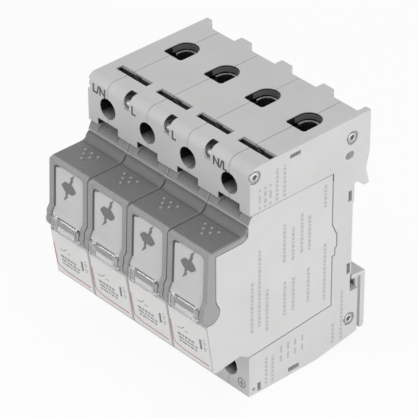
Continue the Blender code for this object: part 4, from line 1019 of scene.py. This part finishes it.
@dataclass
class Studio:
    """Camera, lamps, floor and background."""

    azimuth: float = 47.91
    elevation: float = 34.18
    roll: float = -0.21
    distance: float = 0.92161
    target: tuple = (0.0, 0.00255, 0.04191)
    focal_pixels: float = 3067.39
    frame_pixels: float = 417.0
    centre_pixels: tuple = (212.19, 209.11)
    sensor: float = 36.0
    floor_side: float = 6.0
    floor_level: float = -0.0002
    lamps: tuple[tuple[str, tuple, float, float], ...] = (
        ("side lamp", (1.6, -0.35, 0.4), 1.2, 11.4),
        ("low side lamp", (0.32, 0.16, 0.04), 0.12, 0.12),
        ("top lamp", (0.1, -0.2, 1.6), 1.2, 6.0),
        ("front lamp", (-0.7, -1.2, 0.4), 1.0, 3.2),
    )

    def camera(self) -> None:
        """Place the camera where the photograph was taken from."""
        data = bpy.data.cameras.new("camera")
        data.sensor_width = self.sensor
        data.lens = self.focal_pixels / self.frame_pixels * self.sensor
        half = self.frame_pixels / 2
        data.shift_x = (half - self.centre_pixels[0]) / self.frame_pixels
        data.shift_y = (self.centre_pixels[1] - half) / self.frame_pixels
        data.clip_start = 0.01
        data.dof.use_dof = False
        turn, tilt = math.radians(self.azimuth), math.radians(self.elevation)
        back = Vector((math.sin(turn) * math.cos(tilt), -math.cos(turn) * math.cos(tilt), math.sin(tilt)))
        camera = bpy.data.objects.new("camera", data)
        bpy.context.scene.collection.objects.link(camera)
        camera.location = Vector(self.target) + back * self.distance
        camera.rotation_mode = "QUATERNION"
        twist = Quaternion((0.0, 0.0, 1.0), math.radians(self.roll))
        camera.rotation_quaternion = back.to_track_quat("Z", "Y") @ twist
        bpy.context.scene.camera = camera

    @staticmethod
    def lamp(name: str, place: tuple, size: float, power: float) -> None:
        """Add a soft square lamp that points at the middle of the device.

        Args:
            name: the lamp's name.
            place: its place in metres.
            size: its side in metres.
            power: its power in watts.
        """
        data = bpy.data.lights.new(name, "AREA")
        data.size = size
        data.energy = power
        lamp = bpy.data.objects.new(name, data)
        bpy.context.scene.collection.objects.link(lamp)
        lamp.location = place
        aim = Vector(place) - Vector((0.0, 0.0, 0.04))
        lamp.rotation_euler = aim.to_track_quat("Z", "Y").to_euler()

    @staticmethod
    def backdrop_shader(tree: bpy.types.NodeTree, plain: Socket, white: float) -> Socket:
        """Return a shader that camera, glossy and transmission rays see as near white.

        Args:
            tree: the backdrop's nodes.
            plain: the shader that lights the device.
            white: share of white that is seen.

        Returns:
            The mixed shader's socket.
        """
        path = tree.nodes.new("ShaderNodeLightPath")
        share = path.outputs["Is Camera Ray"]
        for ray in ("Is Glossy Ray", "Is Transmission Ray"):
            either = tree.nodes.new("ShaderNodeMath")
            either.operation = "MAXIMUM"
            tree.links.new(share, either.inputs[0])
            tree.links.new(path.outputs[ray], either.inputs[1])
            share = either.outputs[0]
        part = tree.nodes.new("ShaderNodeMath")
        part.operation = "MULTIPLY"
        part.inputs[1].default_value = white
        tree.links.new(share, part.inputs[0])
        glow = tree.nodes.new("ShaderNodeEmission")
        mix = tree.nodes.new("ShaderNodeMixShader")
        tree.links.new(part.outputs[0], mix.inputs[0])
        tree.links.new(plain, mix.inputs[1])
        tree.links.new(glow.outputs[0], mix.inputs[2])
        return mix.outputs[0]

    def floor(self) -> None:
        """Lay a pale floor that keeps the device's shadow."""
        Bench.clear()
        bpy.ops.mesh.primitive_plane_add(size=self.floor_side, location=(0.0, 0.0, self.floor_level))
        floor = bpy.context.object
        floor.name = "floor"
        material = bpy.data.materials.new("pale floor")
        material.use_nodes = True
        tree = material.node_tree
        shader = tree.nodes["Principled BSDF"]
        shader.inputs["Base Color"].default_value = (0.9, 0.9, 0.9, 1.0)
        shader.inputs["Roughness"].default_value = 0.9
        shader.inputs["Specular IOR Level"].default_value = 0.1
        mixed = self.backdrop_shader(tree, shader.outputs[0], 0.92)
        tree.links.new(mixed, tree.nodes["Material Output"].inputs["Surface"])
        floor.data.materials.append(material)

    def world(self) -> None:
        """Set a soft even world that the camera sees as white."""
        world = bpy.data.worlds.new("studio")
        bpy.context.scene.world = world
        world.use_nodes = True
        tree = world.node_tree
        plain = tree.nodes["Background"]
        plain.inputs["Color"].default_value = (1.0, 1.0, 1.0, 1.0)
        plain.inputs["Strength"].default_value = 0.42
        mixed = self.backdrop_shader(tree, plain.outputs[0], 1.0)
        tree.links.new(mixed, tree.nodes["World Output"].inputs["Surface"])

    def build(self) -> None:
        """Set up the whole studio."""
        bpy.context.scene.view_settings.view_transform = "Standard"
        self.camera()
        self.world()
        self.floor()
        for lamp in self.lamps:
            self.lamp(*lamp)


@dataclass
class Base:
    """Riveted shells, rivets, rail clip and spring."""

    palette: Palette
    edge: float = 0.18
    head_radius: float = 1.65
    head_rise: float = 0.7
    eye_radius: float = 0.8
    shank_radius: float = 1.1
    spring_radius: float = 1.7
    spring_wire: float = 0.25
    spring_turns: int = 4
    spring_low: float = 3.95
    spring_high: float = 9.45
    spring_axis: tuple[float, float] = (-1.5, 7.25)
    wire_corners: int = 12
    steps_per_turn: int = 40
    shell_numbers: tuple[int, ...] = (1, 2, 3, 4, 5)
    rivet_places: tuple[tuple[str, float, float, tuple[int, ...]], ...] = (
        ("rivet_front", 39.7, 77.6, (-1, 1)),
        ("rivet_rear", 0.9, 74.3, (-1, 1)),
        ("rivet_low_left", 0.5, 8.8, (-1,)),
        ("rivet_low_right", 0.5, 8.8, (1,)),
    )

    def shells(self) -> None:
        """Give the five shells rounded moulded edges."""
        for number in self.shell_numbers:
            node = f"base_shell_{number}"
            piece = Bench.soften(Bench.copy_node(node, f"{node}_moulding"), self.edge)
            Bench.dress(piece, self.palette.base, "base_plastic", "base", node)

    def clip(self) -> None:
        """Round the rail clip's edges."""
        piece = Bench.soften(Bench.copy_node("din_clip", "rail_clip_moulding"), self.edge)
        Bench.dress(piece, self.palette.clip, "clip_plastic", "clip", "din_clip")

    def rivet(self, node: str, depth: float, height: float, ends: Sequence[int]) -> None:
        """Turn a rivet with a rolled hollow head at each end that shows, and a dark plug in its eye as
        painted shade.

        Args:
            node: the rivet's node name.
            depth: its depth in millimetres.
            height: its height in millimetres.
            ends: 1 for a head on the right, -1 for one on the left.
        """
        low, high = (corner.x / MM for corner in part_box(node))
        heads, eye_shades = [], []
        for end in ends:
            face = high if end > 0 else -low
            middle = (high + low) / 2 * end
            eye, rim, head = self.eye_radius, self.head_radius, self.head_rise
            profile = [
                (self.shank_radius, middle), (self.shank_radius, face - head), (rim - 0.1, face - head),
                (rim, face - head + 0.12), (rim, face - 0.3), (rim - 0.12, face - 0.1), (rim - 0.35, face),
                (eye + 0.15, face), (eye, face - 0.12), (eye - 0.05, face - 1.6),
            ]
            # A dark plug deep in each eye is painted shade.
            shade_plug = [(eye - 0.04, face - 1.7), (eye - 0.04, face - 0.22), (eye - 0.3, face - 0.3)]
            side = "right" if end > 0 else "left"
            for pieces, kind, shape in ((heads, "head", profile), (eye_shades, "eye", shade_plug)):
                piece = Bench.turned(f"{node}_{kind}_{side}", shape)
                piece.rotation_euler = (0.0, math.radians(90.0 * end), 0.0)
                piece.location = DATUM.point(0.0, depth, height)
                Bench.settle(piece)
                pieces.append(piece)
        Bench.dress(Bench.join(f"{node}_turning", heads), self.palette.rivet, "rivet_steel", "base", node)
        Bench.dress(Bench.join(f"{node}_eyes", eye_shades), self.palette.dark_ink, "rivet_steel", "base")

    def rivets(self) -> None:
        """Turn the two long rivets and the two short ones."""
        for place in self.rivet_places:
            self.rivet(*place)

    def spring(self) -> None:
        """Wind the clip's spring from round wire."""
        Bench.clear()
        wire, corners = self.spring_wire * MM, self.wire_corners
        bpy.ops.mesh.primitive_circle_add(vertices=corners, radius=wire, fill_type="NOTHING")
        piece = bpy.context.object
        piece.name = "clip_spring_coil"
        piece.rotation_euler = (math.radians(90.0), 0.0, 0.0)
        piece.location = (self.spring_radius * MM, 0.0, 0.0)
        Bench.settle(piece)
        screw = piece.modifiers.new("winding", "SCREW")
        screw.screw_offset = (self.spring_high - self.spring_low) / self.spring_turns * MM
        screw.iterations = self.spring_turns
        screw.steps = screw.render_steps = self.steps_per_turn
        bpy.ops.object.modifier_apply(modifier=screw.name)
        Bench.open_up(piece)
        bpy.ops.mesh.remove_doubles(threshold=MERGE)
        bpy.ops.mesh.select_all(action="DESELECT")
        bpy.ops.mesh.select_non_manifold()
        bpy.ops.mesh.edge_face_add()
        bpy.ops.mesh.select_all(action="SELECT")
        bpy.ops.mesh.normals_make_consistent(inside=False)
        bpy.ops.object.mode_set(mode="OBJECT")
        bpy.ops.object.shade_smooth_by_angle(angle=math.radians(SMOOTH_ANGLE))
        low, high = (DATUM.point(*self.spring_axis, end) for end in (self.spring_low, self.spring_high))
        piece.location = low
        Bench.settle(piece)
        Bench.finish(piece, self.palette.spring, "spring_steel", "clip_spring")
        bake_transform(piece)
        LOG.info("%s is pressed together between base and clip", piece.name)

    def build(self) -> None:
        """Build every part of the base."""
        self.shells()
        self.clip()
        self.rivets()
        self.spring()


@dataclass
class Terminals:
    """Screws, lifting cages, contact strips, wire funnels and terminal letters."""

    palette: Palette
    entry_shift: float = 0.65
    entry_depth: float = 10.6
    entry_radius: float = 4.0
    funnel_play: float = 0.15
    screw_edge: float = 0.12
    cage_edge: float = 0.25
    letter_size: float = 3.9
    letter_height: float = 75.85
    comb_depth: float = 32.22
    tab_sides: tuple[float, float, float, float, float] = (-0.4, 5.2, 73.0, 79.6, 80.85)
    tab_thickness: float = 0.4
    entry_face: float = 78.9
    saddle_foot: float = 69.2
    rim_foot: float = 78.2
    sign_place: tuple[float, float] = (32.3, 3.7)
    words: tuple[tuple[float, str], ...] = ((-33.5, "L/N"), (-16.0, "L"), (1.9, "L"), (19.7, "N/L"))

    def horseshoe(self, name: str, level: float, radius: float, width: float, leg: float,
                  height: float) -> Piece:
        """Raise a half ring with two short legs, open towards the front.

        Args:
            name: the piece's name.
            level: height of its foot in millimetres.
            radius: radius of its middle line.
            width: thickness of its wall.
            leg: length of its legs.
            height: how tall it is.

        Returns:
            The piece.
        """
        bend = arc((0.0, 0.0), radius, 0.0, 180.0, 20)
        path = [(radius, -leg), *bend, (-radius, -leg)]
        piece = Bench.outline(name, stroke(path, width), height)
        bpy.ops.object.shade_smooth_by_angle(angle=math.radians(SMOOTH_ANGLE))
        return Bench.lay(piece, Spot(DATUM.centre(1) + self.entry_shift, self.entry_depth, level, Facing.TOP))

    def line_terminals(self) -> None:
        """Finish the four line terminals."""
        funnel_radius = self.entry_radius - self.funnel_play
        funnel = self.horseshoe("wire_funnel_1", self.entry_face, funnel_radius, width=0.5, leg=2.2,
                                height=1.45)
        saddle = self.horseshoe("cage_saddle_1", self.saddle_foot, 3.1, width=0.4, leg=0.4, height=9.0)
        rim = self.horseshoe("cage_rim_1", self.rim_foot, 3.15, width=0.5, leg=1.4, height=0.3)
        for pole in POLES:
            parts = [funnel, saddle, rim]
            if pole > 1:
                shift = pole_shift(pole)
                parts = [Bench.twin(piece, piece.name.replace("1", str(pole)), shift) for piece in parts]
            # The dark funnel and the near-black saddle are painted shade in the wire entry; the near-white
            # rim is a painted highlight.
            Bench.dress(parts[0], self.palette.funnel, "base_plastic", "base")
            Bench.dress(parts[1], self.palette.dark_steel, "zinc_steel", f"terminal_cage_{pole}")
            Bench.dress(parts[2], self.palette.edge, "zinc_steel", f"terminal_cage_{pole}")
            self.hardware(f"terminal_screw_{pole}", f"terminal_cage_{pole}")

    def hardware(self, screw: str, cage: str) -> None:
        """Round the edges of a terminal's screw and cage.

        Args:
            screw: the screw's node name.
            cage: the cage's node name.
        """
        for node, edge in ((screw, self.screw_edge), (cage, self.cage_edge)):
            piece = Bench.soften(Bench.copy_node(node, f"{node}_finished"), edge)
            Bench.dress(piece, self.palette.zinc, "zinc_steel", node, node)

    def strips(self) -> None:
        """Finish the contact strips and the earth bus on their solids."""
        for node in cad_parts:
            if node.startswith(("line_contact", "earth_bus")):
                Bench.coat(node, self.palette.brass)

    def comb_tabs(self) -> None:
        """Stand a contact tab with a small tooth in each comb slot, near black as painted shade of the slot.
        """
        left, right, foot, shoulder, tip = self.tab_sides
        tooth = [(3.7, shoulder + 0.3), (2.8, tip), (2.0, tip), (1.1, shoulder + 0.3)]
        corners = [(left, foot), (right, foot), (right, shoulder), *tooth, (left, shoulder)]
        model = Bench.outline("comb_tab_1", corners, self.tab_thickness)
        Bench.lay(model, Spot(DATUM.centre(1), self.comb_depth, 0.0, Facing.FRONT))
        for pole in POLES:
            tab = Bench.twin(model, f"comb_tab_{pole}", pole_shift(pole)) if pole > 1 else model
            Bench.dress(tab, self.palette.tooth, "tinned_brass", "base")

    def letters(self) -> None:
        """Print the terminal letters and the earth sign on the front of the block."""
        marks = []
        for number, (x, word) in enumerate(self.words, start=1):
            mark = Bench.lettering(f"terminal_letter_{number}", word, self.letter_size)
            marks.append(Bench.lay(mark, Spot(x, DATUM.block_depth, self.letter_height, Facing.FRONT)))
        Bench.dress(Bench.join("terminal_letters", marks), self.palette.dark_ink, "base_plastic", "base")

    def earth_sign(self) -> None:
        """Print the ringed earth sign beside the earth terminal."""
        ring = Bench.outline("earth_sign_ring", stroke(arc((0.0, 0.0), 1.55, 90.0, 449.0, 40), 0.28))
        bars = ((-0.13, 0.13, 0.0, 1.0), (-0.9, 0.9, -0.13, 0.13), (-0.6, 0.6, -0.6, -0.36),
                (-0.3, 0.3, -1.05, -0.82))
        marks = [ring] + [Bench.tile(f"earth_sign_bar_{index}", *sides) for index, sides in enumerate(bars)]
        x, height = self.sign_place
        marks = [Bench.lay(mark, Spot(x, DATUM.block_depth, height, Facing.FRONT)) for mark in marks]
        Bench.dress(Bench.join("earth_sign", marks), self.palette.dark_ink, "base_plastic", "base")

    def build(self) -> None:
        """Build every terminal."""
        self.line_terminals()
        self.hardware("earth_screw", "earth_cage")
        self.strips()
        self.comb_tabs()
        self.letters()
        self.earth_sign()


@dataclass
class Cassette:
    """One plug-in cassette with its handle, flap, print and inner parts."""

    palette: Palette
    edge: float = 0.16
    handle_edge: float = 0.3
    flap_edge: float = 0.12
    flag_edge: float = 0.2
    half: float = 8.7
    bead_shift: float = -0.6
    bead_radius: float = 0.52
    bead_pitch: float = 2.9
    bead_row: float = 2.0
    bead_depth: float = 47.6
    plate_top: float = 59.1
    panel: Spot = Spot(0.0, 57.46, 50.0, Facing.FRONT, -2.4)
    label: Spot = Spot(0.0, 57.0, 25.2, Facing.FRONT, 8.1)
    label_half: float = 8.35
    label_low: float = -8.6
    label_high: float = 7.9
    label_turn: float = 0.8
    symbol_width: float = 0.3
    mark_gap: float = 0.4
    red_width: float = 0.42
    parting_width: float = 0.46
    slot_sides: tuple[float, float, float, float] = (4.12, 5.08, -2.03, 1.83)
    card_depth: float = 58.72
    card_half: float = 3.85
    card_levels: tuple[float, float] = (34.95, 36.7)
    band_levels: tuple[float, float] = (36.75, 38.85)
    card_thickness: float = 0.12
    rib_count: int = 14
    rib_pitch: float = 0.67
    rib_length: float = 4.3
    scoop: Spot = Spot(-4.6, 38.12, 64.92, Facing.FRONT, 34.0)

    def refine(self, pole: int, part: str, edge: float, finish: Material, slot: str, body: str) -> None:
        """Replace a solid by a copy with rounded edges.

        Args:
            pole: the pole's number.
            part: the part of the cassette.
            edge: radius of the edges in millimetres.
            finish: the material.
            slot: the record's material slot.
            body: the body that it moves with.
        """
        node = f"cassette_{pole}_{part}"
        piece = Bench.soften(Bench.copy_node(node, f"{node}_moulding"), edge)
        Bench.dress(piece, finish, slot, body, node)

    def moved(self, spot: Spot, lift: float = 0.0) -> Spot:
        """Return a spot on the first pole, lifted off its face by a distance in millimetres.

        Args:
            spot: the spot, with X from the middle of its pole.
            lift: distance off the face in millimetres.

        Returns:
            The new spot.
        """
        lean = math.radians(spot.lean)
        depth = spot.depth + lift * math.cos(lean)
        height = spot.height - lift * math.sin(lean)
        return Spot(spot.x + DATUM.centre(1), depth, height, spot.facing, spot.lean)

    def beads(self) -> Piece:
        """Turn the six grip beads on the handle.

        Returns:
            The beads as one piece.
        """
        radius = self.bead_radius
        profile = [(radius, -0.1), (radius, 0.05), (radius * 0.88, 0.2), (radius * 0.62, 0.31),
                   (radius * 0.3, 0.37), (radius * 0.08, 0.385)]
        model = Bench.turned("bead", profile, 16)
        rows = [(column - (2 - row) / 2, row) for row in range(3) for column in range(3 - row)]
        made = []
        for across, row in rows:
            shift = Vector((across * self.bead_pitch, -row * self.bead_row, 0.0))
            made.append(Bench.twin(model, "bead_copy", shift))
        bpy.data.objects.remove(model)
        beads = Bench.join("cassette_1_grip_beads", made)
        spot = Spot(DATUM.centre(1) + self.bead_shift, self.bead_depth, self.plate_top, Facing.TOP)
        return Bench.lay(beads, spot)

    def pictogram(self) -> Piece:
        """Print a plain surge sign on the panel: a flash behind an oval with a wavy rim.

        Returns:
            The sign as one piece.
        """
        upper = [(2.6, 6.9), (1.55, 4.9), (1.95, 4.75), (0.9, 2.4), (0.2, 3.0), (0.95, 5.05), (0.6, 5.15)]
        lower = [(-2.5, -4.3), (-1.35, -1.7), (-1.75, -1.55), (-1.2, 0.0), (-0.4, -0.3), (-0.8, -2.1),
                 (-0.45, -2.2)]
        flashes = [Bench.outline(f"flash_{index}", points) for index, points in enumerate((upper, lower))]
        waves = []
        for index in range(36):
            turn = math.radians(index * 10.0)
            reach = 1.0 + 0.05 * math.cos(6 * turn) + 0.03 * math.cos(2 * turn)
            waves.append((-0.1 + 3.0 * reach * math.cos(turn), 1.1 + 1.9 * reach * math.sin(turn)))
        oval = Bench.outline("wavy_oval", waves, PRINT * 1.2)
        sign = Bench.join("cassette_1_surge_sign", [oval, *flashes])
        return Bench.lay(sign, self.moved(self.panel))

    def sticker(self) -> Piece:
        """Cut the pale label with round corners that fills the lower face, with a hole for the flag's slot.

        Returns:
            The label.
        """
        half, low, high, turn = self.label_half, self.label_low, self.label_high, self.label_turn
        corners = []
        for x, y, start in ((half, high, 0.0), (-half, high, 90.0), (-half, low, 180.0), (half, low, 270.0)):
            middle = (x - math.copysign(turn, x), y - math.copysign(turn, y))
            corners += arc(middle, turn, start, start + 90.0, 4)
        piece = Bench.outline("cassette_1_label", corners, PRINT)
        slot = Bench.outline("slot_cutter", bar(*self.slot_sides), 1.0)
        slot.location.z = -0.5 * MM
        return Bench.lay(Bench.pierce(piece, slot), self.moved(self.label))

    def red_line(self) -> Piece:
        """Print the thin red line down the left of the label and along its foot.

        Returns:
            The line.
        """
        bend = arc((-6.6, -5.0), 1.4, 180.0, 255.0, 5)
        path = [(-8.2, 2.6), (-8.1, -3.4), *bend, (-4.0, -7.0), (7.2, -7.2)]
        piece = Bench.outline("cassette_1_red_line", stroke(path, self.red_width))
        return Bench.lay(piece, self.moved(self.label, PRINT))

    def label_print(self) -> Piece:
        """Print a plain contact symbol, rows of short bars and a scale beside the flag's slot.

        Returns:
            The marks as one piece.
        """
        strokes = (((-5.6, 1.2), (-3.9, 1.2)), ((-3.9, 1.2), (-2.1, 2.7)), ((-2.2, 1.2), (-0.7, 1.2)))
        shapes = [stroke(ends, self.symbol_width) for ends in strokes]
        marks = [Bench.outline(f"contact_sign_{index}", corners) for index, corners in enumerate(shapes)]
        rows = ((-0.9, 0.9, (1.5, 0.8, 1.2, 0.9, 1.1)), (-2.4, 0.7, (2.2, 0.7, 1.0, 1.6, 1.2)),
                (-3.7, 0.7, (0.9, 2.0, 0.8, 1.4, 1.0)))
        for row, (level, tall, lengths) in enumerate(rows):
            left = -5.6 + 0.2 * row
            for length in lengths:
                marks.append(Bench.tile("row_mark", left, left + length, level - tall, level))
                left += length + self.mark_gap
        for step, level in enumerate((2.2, 1.2, 0.2, -0.8, -1.8)):
            marks.append(Bench.tile("scale_mark", 5.9, 6.7 + 0.5 * (step % 2), level, level + 0.35))
        marks = [Bench.lay(mark, self.moved(self.label, PRINT)) for mark in marks]
        return Bench.join("cassette_1_label_print", marks)

    def window_strip(self, name: str, levels: tuple[float, float]) -> Piece:
        """Cut a strip that lies behind the clear flap, for the insert card and for the grey band of painted
        shade above it.

        Args:
            name: what the strip is.
            levels: heights of its foot and top in millimetres.

        Returns:
            The strip.
        """
        corners = bar(-self.card_half, self.card_half, *levels)
        piece = Bench.outline(f"cassette_1_{name}", corners, self.card_thickness)
        return Bench.lay(piece, Spot(DATUM.centre(1), self.card_depth, 0.0, Facing.FRONT))

    def parting(self) -> Piece:
        """Lay a dark line between the panel and the handle's left arm, as a painted shadow of the gap between
        them.

        Returns:
            The line.
        """
        path = [(-6.36, -8.0), (-6.36, 5.15), *arc((-4.8, 5.15), 1.56, 180.0, 90.0, 5), (-4.2, 6.71)]
        piece = Bench.outline("cassette_1_parting_line", stroke(path, self.parting_width))
        return Bench.lay(piece, self.moved(self.panel))

    def side_print(self) -> Piece:
        """Print faint columns of dashes on the side.

        Returns:
            The dashes as one piece.
        """
        columns = [(-40.4, 23.0, 41.5), (-37.5, 24.0, 51.7), (-34.4, 21.0, 36.0), (-27.6, 42.5, 55.9),
                   (-24.1, 41.7, 53.3), (-20.6, 42.7, 57.0), (-17.5, 42.2, 54.8), (-27.3, 23.3, 35.3),
                   (-23.8, 23.3, 35.3), (-17.7, 23.6, 36.0), (-11.2, 54.4, 62.4), (-11.0, 20.8, 42.0)]
        marks = Bench.dashes("cassette_1_side_print", columns)
        return Bench.lay(marks, Spot(DATUM.centre(1) + self.half, 0.0, 0.0, Facing.RIGHT))

    def ribs(self) -> Piece:
        """Raise the fine ribs on the slope behind the handle.

        Returns:
            The ribs as one piece.
        """
        points = [(9.0, -0.1)]
        for rib in reversed(range(self.rib_count)):
            left = rib * self.rib_pitch
            points += [(left + 0.28, 0.02), (left + 0.2, 0.16), (left + 0.08, 0.16), (left, 0.02)]
        points.append((0.0, -0.1))
        piece = Bench.outline("cassette_1_ridge_ribs", points, self.rib_length)
        return Bench.lay(piece, self.moved(self.scoop))

    def extras(self) -> list[tuple[Piece, Material, str, str]]:
        """Build the first cassette's small pieces, each with its finish, slot and kind of body.

        Returns:
            The pieces with what belongs to each.
        """
        look = self.palette
        housing = ("cassette_plastic", "cassette")
        return [
            (self.beads(), look.bead, "handle_plastic", "handle"),
            (self.pictogram(), look.grey_ink, *housing),
            (self.sticker(), look.sticker, *housing),
            (self.red_line(), look.red_ink, *housing),
            (self.label_print(), look.pale_ink, *housing),
            (self.side_print(), look.faint_ink, *housing),
            (self.window_strip("insert_card", self.card_levels), look.card, *housing),
            # The grey band is painted shade in the recess under the panel's lip.
            (self.window_strip("window_band", self.band_levels), look.grey_ink, *housing),
            # A painted shadow of the gap beside each panel.
            (self.parting(), look.dark_ink, *housing),
            (self.ribs(), look.cassette, *housing),
        ]

    def solids(self, pole: int) -> None:
        """Finish a cassette's solids.

        Args:
            pole: the pole's number.
        """
        look = self.palette
        self.refine(pole, "body", self.edge, look.cassette, "cassette_plastic", f"cassette_{pole}")
        self.refine(pole, "cover", self.edge, look.cassette, "cassette_plastic", f"cassette_{pole}")
        self.refine(pole, "handle", self.handle_edge, look.handle, "handle_plastic", f"handle_{pole}")
        self.refine(pole, "label_flap", self.flap_edge, look.clear, "clear_plastic", f"label_flap_{pole}")
        self.refine(pole, "status_flag", self.flag_edge, look.flag, "flag_green", f"status_flag_{pole}")
        inside = {"varistor": look.varistor, "line_blade": look.copper, "earth_blade": look.copper}
        for part, finish in inside.items():
            Bench.coat(f"cassette_{pole}_{part}", finish)

    def build(self) -> None:
        """Build the four cassettes, whose small pieces are made once and copied."""
        made = self.extras()
        for pole in POLES:
            self.solids(pole)
            for piece, finish, slot, kind in made:
                if pole > 1:
                    piece = Bench.twin(piece, piece.name.replace("_1_", f"_{pole}_"), pole_shift(pole))
                Bench.dress(piece, finish, slot, f"{kind}_{pole}")


def main() -> None:
    """Build the studio and every sub-assembly in order."""
    logging.basicConfig(level=logging.INFO, format="%(name)s: %(message)s")
    palette = Palette()
    Studio().build()
    Base(palette).build()
    Terminals(palette).build()
    Cassette(palette).build()


if __name__ == "__main__":
    main()
